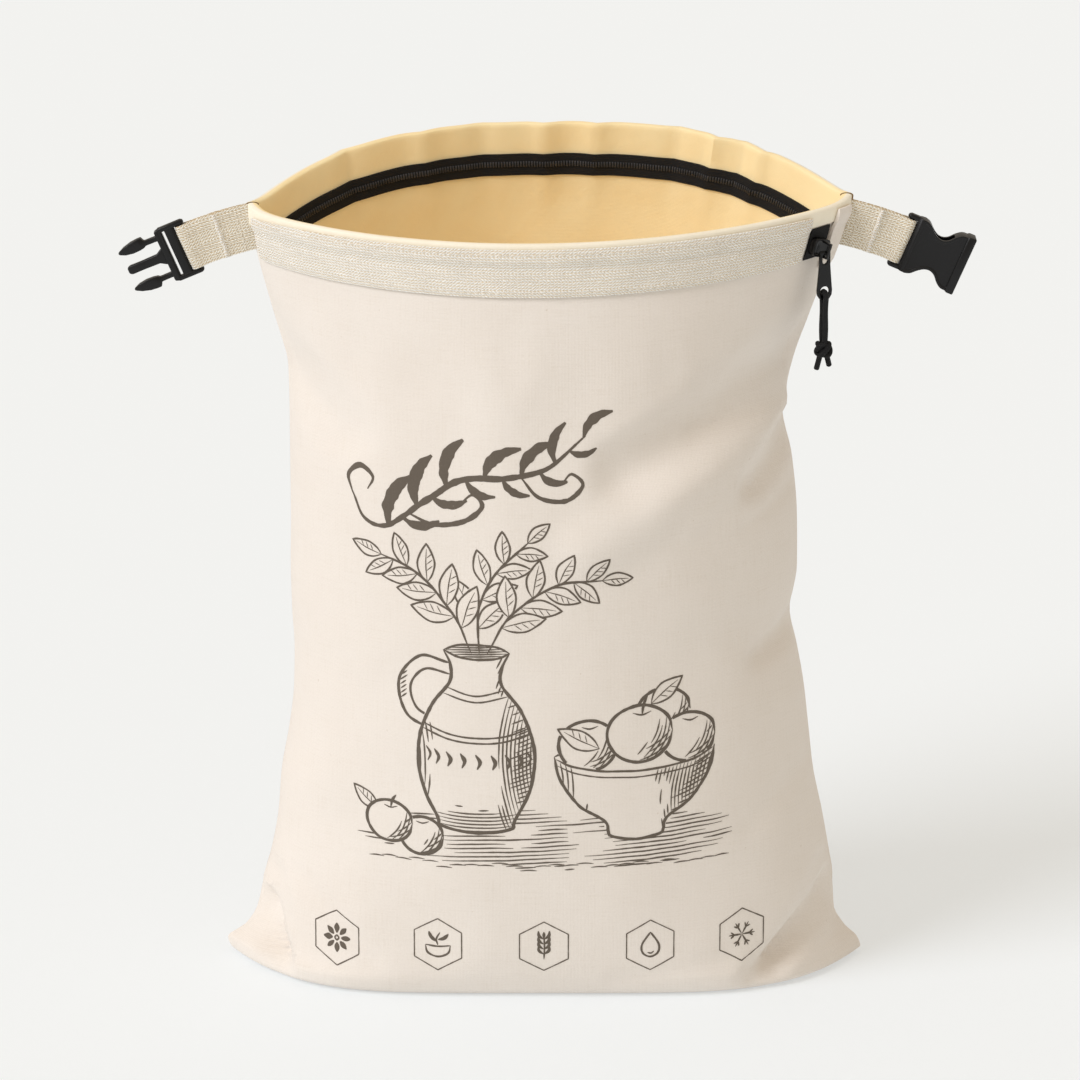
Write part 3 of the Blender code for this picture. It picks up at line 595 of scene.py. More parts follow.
def tidyNormals(data):
    work = bmesh.new()
    work.from_mesh(data)
    bmesh.ops.recalc_face_normals(work, faces=work.faces)
    work.to_mesh(data)
    work.free()
    data.shade_smooth()
    data.set_sharp_from_angle(angle=radians(50))


def ringSkin(rings, ends=True):
    # points and faces of rings joined in turn
    count = len(rings[0])
    points = [point for ring in rings for point in ring]
    faces = []
    for n in range(len(rings) - 1):
        for k in range(count):
            there = (k + 1) % count
            faces.append((n * count + k, n * count + there, (n + 1) * count + there,
                          (n + 1) * count + k))
    if ends:
        faces.append(tuple(reversed(range(count))))
        faces.append(tuple(range((len(rings) - 1) * count, len(rings) * count)))
    return points, faces


def together(bodies):
    # many small bodies as one
    points, faces = [], []
    for morePoints, moreFaces in bodies:
        start = len(points)
        points += morePoints
        faces += [tuple(start + v for v in face) for face in moreFaces]
    return points, faces


def arcPlaces(ring):
    # how far along the ring each point lies, 0 at the middle of the front
    lengths = [0]
    for a, b in zip(ring, ring[1:]):
        lengths.append(lengths[-1] + dist((a.x, a.y), (b.x, b.y)))
    middle = lengths[len(ring) // 4]
    return [length - middle for length in lengths]


def clothSpots(rings):
    # a spot on the flat cloth for each point: along the ring, and down the profile of its front
    column = len(rings[0]) // 4
    down = 0
    spots = []
    for n, ring in enumerate(rings):
        if n:
            down += (ring[column] - rings[n - 1][column]).length
        spots += [(along, down) for along in arcPlaces(ring)]
    return spots


def canvasShell():
    outer = []
    for height in finePlaces(bag["edge"]):
        ring = wallRing(height)
        groove = bag["seamDeep"] * smooth((height - 20) / 40) * smooth((bag["cuff"] - height) / 30)
        ring[0].x += groove                             # the side seams are turned in
        ring[bag["columns"] // 2].x -= groove
        outer.append(ring)
    rings = outer + innerRings(bag["edge"], bag["canvas"], bag["canvas"], bag["innerStep"])
    piece = meshPiece("canvas_shell", ringSkin(rings), canvas, clothSpots(rings))
    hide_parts("canvas_body")
    return outer


def innerRings(top, inset, floor, step):
    # an inner face from its top down to its floor, over the pressed ears
    heights = [bag["wall"][4][0]]
    while heights[-1] + step < top - step / 2:
        heights.append(heights[-1] + step)
    rings = [wallRing(height, inset) for height in [top] + heights[:0:-1]]
    for row, room in list(zip(bag["wall"], bag["hollow"]))[::-1]:
        rings.append(wallRing(row[0], inset, floor, room))
    return rings


def liningShell():
    # inner bag, its top folded over the canvas edge into a cuff
    gap, edge, cuff = bag["gap"], bag["edge"], bag["cuff"]
    rings = innerRings(edge, liningOff, liningOff, bag["innerStep"])[:0:-1]
    cuffFrom = len(rings)
    rings += [wallRing(edge, liningOff, gap), wallRing(edge, -gap, gap), wallRing(cuff, -gap),
              wallRing(cuff - 0.3, blendOf(-gap, cuffOff, 0.5)), wallRing(cuff + 0.3, cuffOff),
              wallRing(edge - 3, cuffOff - 0.15)]
    middle, half = (insideOff + cuffOff) / 2, (insideOff - cuffOff) / 2
    for turn in range(0, 181, 22):
        rings.append(wallRing(edge, middle - half * cos(radians(turn)),
                              0.4 + 1.3 * sin(radians(turn)), None, bag["horns"]))
    cuffTo = len(rings) - 5
    rings += innerRings(edge - 1.5, insideOff, insideOff, bag["rowStep"])
    piece = clothPiece("lining_shell", "lining", rings, clothSpots(rings), coating)
    piece.data.materials.append(cuffCoating)        # paler where it is folded to the outside
    for polygon in piece.data.polygons[cuffFrom * bag["columns"]:cuffTo * bag["columns"]]:
        polygon.material_index = 1


# Webbing along the front rim
rimBand = {
    "fromAngle": 192, "toAngle": 330, "step": 1.5,
    "low": 399, "top": 424.6, "cornerDrop": 1.4, "cornerRise": 1.6,
    "thick": 1.8, "overCuff": 2, "stepUp": 2.4, "rounding": 0.5,
}


def offWall(height):
    # how far the back of a piece round the rim stands off the wall: it steps out over the cuff
    share = (height - bag["cuff"] + rimBand["stepUp"]) / rimBand["stepUp"]
    return blendOf(bag["gap"], rimBand["overCuff"], smooth(share))


def bandProfile(angle):
    corner = abs(cos(radians(angle))) ** 5
    low = rimBand["low"] + rimBand["cornerRise"] * corner
    top = rimBand["top"] - rimBand["cornerDrop"] * corner
    return [(height, offWall(height)) for height in evenly(low, top, 14)]


def softBand(angles, profileOf, thick, rounding, swell=None):
    # a strip on the wall with rounded edges; returns its rings and their spots on the cloth
    rings, spots = [], []
    along = 0
    before = None
    for angle in angles:
        profile = profileOf(angle)
        out = outward(wallAt(profile[0][0]), angle)
        walls = [(wallPoint(height, angle), off) for height, off in profile]
        front, back = [], []
        for n, (point, off) in enumerate(walls):
            atEdge = n in (0, len(walls) - 1)
            extra = swell(angle, n / (len(walls) - 1)) if swell else 0
            front.append(point + out * (off + thick - (rounding if atEdge else 0) + extra))
            back.append(point + out * (off + (rounding * 0.5 if atEdge else 0)))
        middle = walls[len(walls) // 2][0]
        if before:
            along += (middle - before).length
        before = middle
        rings.append(front + back[::-1])
        up = [(walls[n][0] - walls[0][0]).length for n in range(len(walls))]
        spots += [(along, high) for high in up] + [(along, high) for high in up[::-1]]
    return rings, spots


def bandWave(angle, share):
    # the band is eased on by hand, so its edges wander a little
    return 0.22 * noise.noise(Vector((angle * 0.35, share * 2, 4)))


def rimWebbing():
    count = round((rimBand["toAngle"] - rimBand["fromAngle"]) / rimBand["step"])
    angles = [rimBand["fromAngle"] + rimBand["step"] * n for n in range(count + 1)]
    rings, spots = softBand(angles, bandProfile, rimBand["thick"], rimBand["rounding"], bandWave)
    clothPiece("rim_webbing_band", "rim_webbing", rings, spots, webbing)


# Folded canvas at the right corner, with the black zip end beside it
tab = {"angles": (-18, -7.5), "low": 393, "high": 425, "thick": 2, "rounding": 0.7}
zipEnd = {"angles": (-28.4, -19.6), "low": 400.5, "high": 417, "thick": 1, "rounding": 0.2}


def tabProfile(angle):
    return [(height, offWall(height)) for height in evenly(tab["low"], tab["high"], 12)]


def endProfile(angle):
    return [(height, bag["gap"]) for height in evenly(zipEnd["low"], zipEnd["high"], 6)]


def cornerPieces():
    rings, spots = softBand(evenly(*tab["angles"], 8), tabProfile, tab["thick"], tab["rounding"])
    clothPiece("corner_tab", "side_tab", rings, spots, canvas)
    rings, spots = softBand(evenly(*zipEnd["angles"], 8), endProfile, zipEnd["thick"],
                            zipEnd["rounding"])
    clothPiece("zip_tape_end", "zip_end", rings, spots, zipTape)


# Zip tapes inside the mouth, each with its nylon coil
zipTapes = {
    "low": 399.6, "high": 410.6, "step": 1.5, "coilLevel": 405.4, "thick": 1,
    "toothPitch": 1.5, "toothLong": 3, "toothThick": 0.55, "toothEdge": 0.18,
    # angles round the bag where each tape starts and ends
    "runs": {"back": (12, 168.5), "front": (191.5, 348)},
}


def tapeRings(first, last):
    count = round((last - first) / zipTapes["step"])
    heights = evenly(zipTapes["low"], zipTapes["high"], 8)
    up = [height - zipTapes["low"] for height in heights]
    rings, spots = [], []
    along = 0
    for n in range(count + 1):
        angle = first + zipTapes["step"] * n
        walls = [wallPoint(height, angle, tapeOff) for height in heights]
        inner = [wallPoint(height, angle, tapeOff + zipTapes["thick"]) for height in heights]
        if rings:
            along += (walls[0] - rings[-1][0]).length
        rings.append(walls + inner[::-1])
        spots += [(along, high) for high in up + up[::-1]]
    return rings, spots


def coilTeeth(name, first, last):
    # one tooth is a short round bar across the tape, modelled once and copied along it
    near, level, stride = tapeOff + zipTapes["thick"], zipTapes["coilLevel"], 0.3
    deselectAll()
    bpy.ops.mesh.primitive_cylinder_add(vertices=6, radius=zipTapes["toothThick"],
                                        depth=zipTapes["toothLong"], location=(0, 0, 0))
    tooth = bpy.context.active_object
    editWhole(tooth)
    bpy.ops.mesh.bevel(offset=zipTapes["toothEdge"], segments=1, affect="EDGES")
    bpy.ops.object.mode_set(mode="OBJECT")
    shape = [vertex.co.copy() for vertex in tooth.data.vertices]
    sides = [tuple(polygon.vertices) for polygon in tooth.data.polygons]
    bpy.data.objects.remove(tooth)
    teeth = []
    angle = first
    while angle < last:
        out = outward(wallAt(level), angle)
        here = wallPoint(level, angle, near)
        ahead = wallPoint(level, angle + stride, near) - here
        along = ahead.normalized()
        spot = here - out * zipTapes["toothThick"] * 0.4
        place = Matrix((along, out, along.cross(out))).transposed()
        teeth.append(([spot + place @ vertex for vertex in shape], sides))
        angle += stride * zipTapes["toothPitch"] / max(0.2, ahead.length)
    meshPiece(name, together(teeth), nylon)


def zipRun():
    for side, (first, last) in zipTapes["runs"].items():
        rings, spots = tapeRings(first, last)
        clothPiece("zip_tape_" + side + "_woven", "zip_tape_" + side, rings, spots, zipTape)
        coilTeeth("zip_coil_" + side, first + 0.5, last - 0.5)


# Strap loops of webbing, folded round the buckle's bar and stitched
straps = {
    "left": {"toward": -1, "rootX": -156.9, "rootZ": 414, "slope": 14, "long": 33},
    "right": {"toward": 1, "rootX": 162.1, "rootZ": 416.6, "slope": 14, "long": 30.6},
    "wide": 25, "thick": 1.8, "buckleSlope": 23, "eye": 1.7, "swell": 7,
    "ridgeAt": 15, "ridgeHalf": 2.6, "ridgeHigh": 1, "foldHalf": 1.2,
    "seated": 5,              # how far the webbing runs on into the seam
}


def strapCentre(strap, along):
    start = radians(strap["slope"])
    bend = (radians(straps["buckleSlope"]) - start) / strap["long"]
    slope = start + bend * along
    run = (sin(slope) - sin(start)) / bend
    fall = (cos(start) - cos(slope)) / bend
    return Vector((strap["rootX"] + strap["toward"] * run, 0, strap["rootZ"] - fall)), slope


def strapFrame(strap, along):
    centre, slope = strapCentre(strap, along)
    ahead = Vector((strap["toward"] * cos(slope), 0, -sin(slope)))
    up = Vector((strap["toward"] * sin(slope), 0, cos(slope)))
    return centre, ahead, up


def strapLoop(side):
    strap = straps[side]
    flat = bag["gap"] / 2
    stations = []               # along, off the centre, extra thickness
    for along in evenly(-straps["seated"], strap["long"], 22):
        opened = smooth((along - strap["long"] + straps["swell"]) / straps["swell"])
        away = abs(along - straps["ridgeAt"]) / straps["ridgeHalf"]
        ridge = straps["ridgeHigh"] * (1 - away * away) ** 0.5 if away < 1 else 0
        stations.append((along, flat + (straps["eye"] - flat) * opened, ridge))
    rings, spots = [], []
    travelled = 0

    def cross(along, off, extra, turn, layer):
        centre, ahead, up = strapFrame(strap, along)
        away = Vector((0, layer * cos(turn), 0)) + ahead * sin(turn)
        half = straps["wide"] / 2
        inner, outer = [], []
        for n, across in enumerate(evenly(-half, half, 8)):
            cut = 0.5 if n in (0, 8) else 0
            inner.append(centre + away * (off + cut * 0.6) + up * across)
            outer.append(centre + away * (off + straps["thick"] + extra - cut) + up * across)
        return inner + outer[::-1]

    places = [(along, off, extra, 0, -1) for along, off, extra in stations]
    places += [(strap["long"], straps["eye"], 0, radians(turn), -1)
               for turn in range(15, 180, 15)]
    places += [(along, off, extra * 0.6, 0, 1) for along, off, extra in reversed(stations)]
    for place in places:
        ring = cross(*place)
        middle = (ring[4] + ring[13]) / 2
        if rings:
            travelled += (middle - before).length
        before = middle
        rings.append(ring)
        across = [straps["wide"] * n / 8 for n in range(9)]
        spots += [(travelled, spot) for spot in across + across[::-1]]
    clothPiece("webbing_loop_" + side, "strap_" + side, rings, spots, strapWeb)


def strapFolds(side):
    # the cut end of the webbing, turned under and sewn down as a soft ridge
    strap = straps[side]
    centre, ahead, up = strapFrame(strap, straps["ridgeAt"])
    front = Vector((0, -(bag["gap"] / 2 + straps["thick"] + 0.35), 0))
    half = straps["wide"] / 2 - 0.4
    path = [centre + front + up * blendOf(-half, half, n / 24)
            + ahead * 0.25 * sin(n * 0.9) for n in range(25)]
    rings, spots = tube(path, straps["foldHalf"])
    meshPiece("webbing_fold_" + side, ringSkin(rings), webbing, spots)


# The thin brown thread that closes the cuff at each corner, over the rim and down its front
cornerThread = {"angles": {"left": 184, "right": 356.4}, "off": 0.3, "radius": 0.38,
                "arch": 1.3, "down": (418.8, 420.5, 422.5)}


def cornerEdges():
    off = cornerThread["off"]
    middle, half = (cuffOff + insideOff) / 2, (insideOff - cuffOff) / 2 + off
    for label, angle in cornerThread["angles"].items():
        lift = bag["horns"] * abs(cos(radians(angle))) ** bag["hornPower"]
        path = [wallPoint(height, angle, cuffOff - off) for height in cornerThread["down"]]
        for n in range(13):
            turn = radians(15 * n)
            path.append(wallPoint(bag["edge"], angle, middle - half * cos(turn))
                        + Vector((0, 0, off + cornerThread["arch"] * sin(turn) + lift)))
        rings, spots = tube(finePath(path), cornerThread["radius"], 8)
        meshPiece("corner_thread_" + label, ringSkin(rings), brownYarn, spots)


# Thread
thread = {"long": 2.6, "gap": 1.1, "radius": 0.32, "rise": 0.12}
seams = {
    "band": {"low": 0.09, "top": 0.9},          # shares of the band's height
    "bandEnds": (1, 0.6), "bandStep": 0.75, "back": (5, 176), "backUp": 1.4,
    "strapEnd": 4, "foldSide": 0.9, "strapHalf": 11.3,
}


def stitchRow(name, spots, material):
    # spots are points with the way out of the cloth there; a stitch runs between each pair
    stitches = []
    turns = [radians(60 * n) for n in range(6)]
    for (start, out), (end, _) in spots:
        side = (end - start).normalized().cross(out).normalized()
        rings = []
        for share, size in ((0, 0.45), (0.15, 0.95), (0.5, 1), (0.85, 0.95), (1, 0.45)):
            middle = start + (end - start) * share
            middle += out * (thread["rise"] - thread["radius"] * 1.3 * abs(2 * share - 1) ** 2)
            rings.append([middle + (side * cos(turn) + out * sin(turn))
                          * thread["radius"] * size for turn in turns])
        stitches.append(ringSkin(rings))
    meshPiece(name, together(stitches), material)


def evenSpots(path):
    # pairs of places one stitch apart along a path of (point, way out)
    spots = []
    travelled = 0
    start = None
    target = 0
    for (a, outA), (b, _) in zip(path, path[1:]):
        length = (b - a).length
        while target <= travelled + length:
            place = a + (b - a) * ((target - travelled) / length)
            if start is None:
                start = (place, outA)
                target += thread["long"]
            else:
                spots.append((start, (place, outA)))
                start = None
                target += thread["gap"]
        travelled += length
    return spots


def bandSeams():
    for label, share in seams["band"].items():
        path = []
        angle = rimBand["fromAngle"] + seams["bandEnds"][0]
        while angle < rimBand["toAngle"] - seams["bandEnds"][1]:
            profile = bandProfile(angle)
            height = blendOf(profile[0][0], profile[-1][0], share)
            out = outward(wallAt(height), angle)
            off = offWall(height) + rimBand["thick"]
            path.append((wallPoint(height, angle) + out * off, out))
            angle += seams["bandStep"]
        stitchRow("band_stitching_" + label, evenSpots(path), cottonYarn)
    path = []                   # the cuff's own seam, along the back where no band covers it
    height = bag["cuff"] + seams["backUp"]
    for angle in evenly(*seams["back"], 240):
        path.append((wallPoint(height, angle, cuffOff), outward(wallAt(height), angle)))
    stitchRow("cuff_stitching_back", evenSpots(path), cottonYarn)


def strapSeams():
    half = seams["strapHalf"]
    for side in ("left", "right"):
        strap = straps[side]
        spots = []
        for along in (straps["ridgeAt"] - straps["ridgeHalf"] - seams["foldSide"],
                      seams["strapEnd"]):
            for layer in (-1, 1):
                centre, _, up = strapFrame(strap, along)
                out = Vector((0, layer, 0))
                face = out * (bag["gap"] / 2 + straps["thick"])
                spots += evenSpots([(centre + face + up * across, out)
                                    for across in evenly(-half, half, 20)])
        stitchRow("strap_stitching_" + side, spots, cottonYarn)


# Hard pieces, modelled in millimetres in their own frames and then put in their places
def deselectAll():
    if bpy.context.mode != "OBJECT":
        bpy.ops.object.mode_set(mode="OBJECT")
    bpy.ops.object.select_all(action="DESELECT")


def onlySelect(piece):
    deselectAll()
    piece.select_set(True)
    bpy.context.view_layer.objects.active = piece


def editWhole(piece):
    # edit mode, with all of the piece selected
    onlySelect(piece)
    bpy.ops.object.mode_set(mode="EDIT")
    bpy.ops.mesh.select_all(action="SELECT")


def newSolid(name):
    # names the primitive that was just added and puts its place in its mesh
    piece = bpy.context.active_object
    piece.name = name
    bpy.ops.object.transform_apply(location=True, rotation=True, scale=True)
    return piece


def growBar(name, stations):
    # a closed bar grown from one end. A section is along, middle across, half across, half thick
    deselectAll()
    along, across, half, thick = stations[0]
    bpy.ops.mesh.primitive_plane_add(size=2, rotation=(0, pi / 2, 0))
    piece = bpy.context.active_object
    piece.name = name
    bpy.ops.object.transform_apply(location=False, rotation=True, scale=False)
    editWhole(piece)
    bpy.ops.transform.resize(value=(1, half, thick), center_override=(0, 0, 0))
    bpy.ops.transform.translate(value=(along, across, 0))
    for nextAlong, nextAcross, nextHalf, nextThick in stations[1:]:
        move = (nextAlong - along, nextAcross - across, 0)
        bpy.ops.mesh.extrude_region_move(TRANSFORM_OT_translate={"value": move})
        bpy.ops.transform.resize(value=(1, nextHalf / half, nextThick / thick),
                                 center_override=(nextAlong, nextAcross, 0))
        along, across, half, thick = nextAlong, nextAcross, nextHalf, nextThick
    bpy.ops.mesh.select_all(action="SELECT")
    bpy.ops.mesh.normals_make_consistent(inside=False)
    bpy.ops.object.mode_set(mode="OBJECT")
    return piece


def eased(stations):
    # four stations for each one, on a smooth line through them
    made = []
    for n in range(len(stations) - 1):
        near = [stations[min(max(n + k, 0), len(stations) - 1)] for k in (-1, 0, 1, 2)]
        for k in range(4):
            made.append(tuple(curveAt(*four, k / 4) for four in zip(*near)))
    return made + [stations[-1]]


def pick(piece, kind, test):
    # leaves exactly the faces or edges that pass the test selected, in edit mode
    onlySelect(piece)
    bpy.ops.object.mode_set(mode="EDIT")
    bpy.ops.mesh.select_mode(type=kind)
    bpy.ops.mesh.select_all(action="DESELECT")
    bpy.ops.object.mode_set(mode="OBJECT")
    for part in piece.data.polygons if kind == "FACE" else piece.data.edges:
        part.select = test(part)
    bpy.ops.object.mode_set(mode="EDIT")


def sunkPanel(piece, test, border, slope, depth):
    # a shallow panel inside a raised rim, on the faces that pass the test
    pick(piece, "FACE", test)
    bpy.ops.mesh.inset(thickness=border, depth=0)
    bpy.ops.mesh.inset(thickness=slope, depth=-depth)
    bpy.ops.object.mode_set(mode="OBJECT")


def bevelled(piece, width, segments=3, limit=30):
    onlySelect(piece)
    bpy.ops.object.modifier_add(type="BEVEL")
    step = piece.modifiers[-1]
    step.width = width
    step.segments = segments
    step.limit_method = "ANGLE"
    step.angle_limit = radians(limit)
    bpy.ops.object.modifier_apply(modifier=step.name)
    return piece


def fused(base, others, operation="UNION"):
    # the first solid with the others joined on or cut out
    for other in others:
        onlySelect(base)
        bpy.ops.object.modifier_add(type="BOOLEAN")
        step = base.modifiers[-1]
        step.operation = operation
        step.solver = "EXACT"
        step.object = other
        bpy.ops.object.modifier_apply(modifier=step.name)
    for other in others:
        bpy.data.objects.remove(other)
    return base


def mergeDoubles(piece, reach):
    editWhole(piece)
    bpy.ops.mesh.remove_doubles(threshold=reach * mm)
    bpy.ops.mesh.normals_make_consistent(inside=False)
    bpy.ops.object.mode_set(mode="OBJECT")


def settle(piece, name, place, material, node):
    # puts a finished solid in its place in the frame, with its object at the origin
    onlySelect(piece)
    piece.name = name
    piece.matrix_world = (Matrix.Scale(mm, 4) @ Matrix.Translation((-middleX, 0, 0)) @ place)
    bpy.ops.object.transform_apply(location=True, rotation=True, scale=True)
    mergeDoubles(piece, 0.002)
    bpy.ops.object.shade_smooth_by_angle(angle=radians(38))
    piece.data.materials.clear()
    piece.data.materials.append(material)
    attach(piece, "root")
    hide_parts(node)


buckle = {
    "barAt": 2.5, "barRadius": 1.3, "railInner": 12.9, "railOuter": 15.5, "railThick": 2.2,
    # along, middle across, half across, half thick
    "tongue": [(14.5, 0, 5.2, 1.5), (17.5, 0, 4.4, 1.6), (20.5, 0, 2.6, 1.6),
               (30, 0, 2.4, 1.55), (36.4, 0, 2.5, 1.6), (38, 0, 1.6, 1.1)],
    "arm": [(15.5, 10.6, 1.7, 1.9), (17.6, 10.6, 1.4, 1.7), (23.6, 10.7, 1.4, 1.7),
            (24.7, 11.5, 2.9, 2), (27, 11.3, 3.1, 2.15), (31, 11, 3, 2.15),
            (35.4, 10.7, 2.1, 1.9), (38, 10.6, 1, 1.4), (39, 10.6, 0.5, 0.9)],
    "shell": [(5.8, 0, 15, 2), (7.4, 0, 15.3, 3.6), (10, 0, 15.3, 4.5),
              (13, 0, 14.2, 4.7), (16, 0, 11.4, 4.75), (19, 0, 9.4, 4.8),
              (22, 0, 8.9, 4.8), (25, 0, 10.2, 4.8), (28, 0, 13.4, 4.8),
              (31, 0, 15.4, 4.8), (34.5, 0, 15.7, 4.8), (38, 0, 15.8, 4.8)],
    "midBar": [(5.9, 0, 15.1, 1.2), (7.4, 0, 15.1, 1.8), (11.5, 0, 15.1, 1.9)],
    "frontBar": [(13, 0, 15.1, 2), (15, 0, 15.1, 2.2), (17, 0, 14.5, 2)],
    "collar": [(33.5, 0, 15.7, 4.9), (34.7, 0, 16.4, 5.4), (38.5, 0, 16.4, 5.4)],
    "cavity": [(13, 0, 12.8, 3), (44, 0, 12.8, 3)],
    "prongRails": 15, "socketRails": 8.5,
    "panel": (1.1, 0.6, 0.4),                   # border, slope and depth
    # how far the edges are rounded
    "edge": 0.85, "armEdge": 0.8, "shellEdge": 0.9, "collarEdge": 1, "cavityEdge": 0.5,
}


def bucklePlace(side):
    strap = straps[side]
    centre, ahead, up = strapFrame(strap, strap["long"])
    place = Matrix((ahead, up, Vector((0, -1, 0)))).transposed().to_4x4()
    place.translation = centre - ahead * buckle["barAt"]
    return place


def buckleRails(long):
    middle = (buckle["railInner"] + buckle["railOuter"]) / 2
    half = (buckle["railOuter"] - buckle["railInner"]) / 2
    rails = []
    for side in (-1, 1):
        stations = [(0, side * (middle - 0.3), half * 0.8, buckle["railThick"] * 0.7),
                    (1.6, side * middle, half, buckle["railThick"]),
                    (long, side * middle, half, buckle["railThick"])]
        rails.append(bevelled(growBar("rail", stations), buckle["edge"], 3))
    return rails


def strapBar():
    deselectAll()
    bpy.ops.mesh.primitive_cylinder_add(
        vertices=24, radius=buckle["barRadius"], depth=buckle["railInner"] + buckle["railOuter"],
        location=(buckle["barAt"], 0, 0), rotation=(pi / 2, 0, 0))
    return newSolid("strap_bar")


def prongHalf():
    rounded = buckle["edge"]
    midBar = bevelled(growBar("mid_bar", buckle["midBar"]), rounded)
    frontBar = growBar("front_bar", buckle["frontBar"])
    parts = buckleRails(buckle["prongRails"]) + [strapBar(), midBar]
    parts.append(bevelled(growBar("tongue", buckle["tongue"]), rounded))
    for side in (-1, 1):
        stations = [(along, side * across, half, thick)
                    for along, across, half, thick in buckle["arm"]]
        parts.append(bevelled(growBar("arm", stations), buckle["armEdge"]))
    body = fused(bevelled(frontBar, rounded), parts)
    settle(body, "buckle_prong_half", bucklePlace("left"), acetal,
           "buckle_prongs")


def socketHalf():
    shell = growBar("shell", buckle["shell"][:2] + eased(buckle["shell"][2:]))
    for side in (-1, 1):
        sunkPanel(shell, lambda face: face.normal.z * side > 0.9, *buckle["panel"])
    bevelled(shell, buckle["shellEdge"])
    collar = bevelled(growBar("collar", buckle["collar"]), buckle["collarEdge"])
    body = fused(shell, buckleRails(buckle["socketRails"]) + [strapBar(), collar])
    cavity = bevelled(growBar("cavity", buckle["cavity"]), buckle["cavityEdge"], 2)
    body = fused(body, [cavity], "DIFFERENCE")
    settle(body, "buckle_socket_half", bucklePlace("right"), acetal,
           "buckle_socket")


# Zip slider, its pull and the doubled cord. Frames: t along the tape, n off the wall, z up
slider = {
    "angle": -24.6, "level": 407.5, "wide": 11, "high": 10, "thick": 4.2, "corner": 2.4,
    "bailWide": 1.6, "bailWire": 1.2, "bailHigh": 8.8, "bailOut": 5.8,
    "pullOff": 3, "pullOver": 0.9, "pullTurn": -20, "pullThick": 1.5,
    "pullLong": 27, "pullRise": 2, "pullRim": 2,
    # along from the top, middle, half width, half thickness
    "pull": [(0, 0, 2.3, 0.6), (0.7, 0, 3.1, 0.75), (8, 0, 3.15, 0.75),
             (17, 0, 3.9, 0.75), (21.5, 0, 4.35, 0.75), (24, 0, 4.1, 0.75),
             (26, 0, 2.9, 0.75), (27, 0, 1.5, 0.7)],
    "topHole": (1.7, 5.2), "lowHole": (2.65, 5.7),
    "panel": (1.1, 0.4, 0.5), "edge": 0.45, "bailEdge": 0.35, "pullEdge": 0.3, "holeEdge": 0.18,
}


def sliderPlace():
    half = slider["high"] / 2
    above = wallPoint(slider["level"] + half, slider["angle"])
    below = wallPoint(slider["level"] - half, slider["angle"])
    up = (above - below).normalized()
    out = outward(wallAt(slider["level"]), slider["angle"])
    out = (out - up * out.dot(up)).normalized()
    place = Matrix((out.cross(up), out, up)).transposed().to_4x4()
    start = bag["gap"] * 2 + zipEnd["thick"] + 0.1
    place.translation = wallPoint(slider["level"], slider["angle"]) + out * start
    return place


def pullPlace():
    legTop = -slider["bailHigh"] / 2 + slider["bailWire"]
    body = sliderPlace()
    spot = body @ Vector((0, slider["thick"] + slider["pullOff"], legTop + slider["pullOver"]))
    out = body.to_3x3() @ Vector((0, 1, 0))
    out = Vector((out.x, out.y, 0)).normalized()
    up = Vector((0, 0, 1))
    place = Matrix((out.cross(up), out, up)).transposed().to_4x4()
    place.translation = spot
    return place @ Matrix.Rotation(radians(slider["pullTurn"]), 4, "Z")


def boxBar(name, low, high):
    # a block from corner to corner
    deselectAll()
    size = [b - a for a, b in zip(low, high)]
    bpy.ops.mesh.primitive_cube_add(size=1, location=[(a + b) / 2 for a, b in zip(low, high)],
                                    scale=size)
    return newSolid(name)


def zipSlider():
    wide, tall, face = slider["wide"] / 2, slider["high"] / 2, slider["thick"]
    body = boxBar("slider_body", (-wide, 0, -tall), (wide, face, tall))
    spots = [vertex.co.copy() for vertex in body.data.vertices]
    pick(body, "EDGE",
         lambda edge: abs(spots[edge.vertices[0]].y - spots[edge.vertices[1]].y) > face * 0.9)
    bpy.ops.mesh.bevel(offset=slider["corner"], segments=3, affect="EDGES")
    bpy.ops.object.mode_set(mode="OBJECT")
    sunkPanel(body, lambda face: face.normal.y > 0.9, *slider["panel"])
    bevelled(body, slider["edge"])
    reach, leg = face + slider["bailOut"], slider["bailHigh"] / 2
    half, wire = slider["bailWide"] / 2, slider["bailWire"]
    parts = [boxBar("leg", (-half, face - 1.4, low), (half, reach - 0.2, low + wire))
             for low in (-leg, leg - wire)]
    parts.append(boxBar("arch", (-half, reach - wire, -leg + 0.1), (half, reach, leg - 0.1)))
    body = fused(body, [bevelled(part, slider["bailEdge"]) for part in parts])
    settle(body, "zip_slider_body", sliderPlace(), enamel, "zip_slider")


def zipPull():
    plate = bevelled(growBar("pull_plate", slider["pull"]), slider["pullEdge"])
    holes = []
    top = slider["pullRise"] + slider["topHole"][1] / 2
    low = slider["pullLong"] - slider["pullRim"] - slider["lowHole"][1] / 2
    for middle, (half, high) in ((top, slider["topHole"]), (low, slider["lowHole"])):
        deselectAll()
        bpy.ops.mesh.primitive_cylinder_add(vertices=28, radius=half, depth=8)
        hole = newSolid("hole")
        editWhole(hole)
        bpy.ops.transform.resize(value=(high / 2 / half, 1, 1))
        bpy.ops.transform.translate(value=(middle, 0, 0))
        bpy.ops.object.mode_set(mode="OBJECT")
        holes.append(hole)
    plate = fused(plate, holes, "DIFFERENCE")
    bevelled(plate, slider["holeEdge"], 2, 50)
    hang = Matrix(((0, 1, 0, 0), (0, 0, 1, 0),
                   (-1, 0, 0, slider["pullRise"]), (0, 0, 0, 1)))
    settle(plate, "zip_pull_plate", pullPlace() @ hang, enamel, "zip_pull")


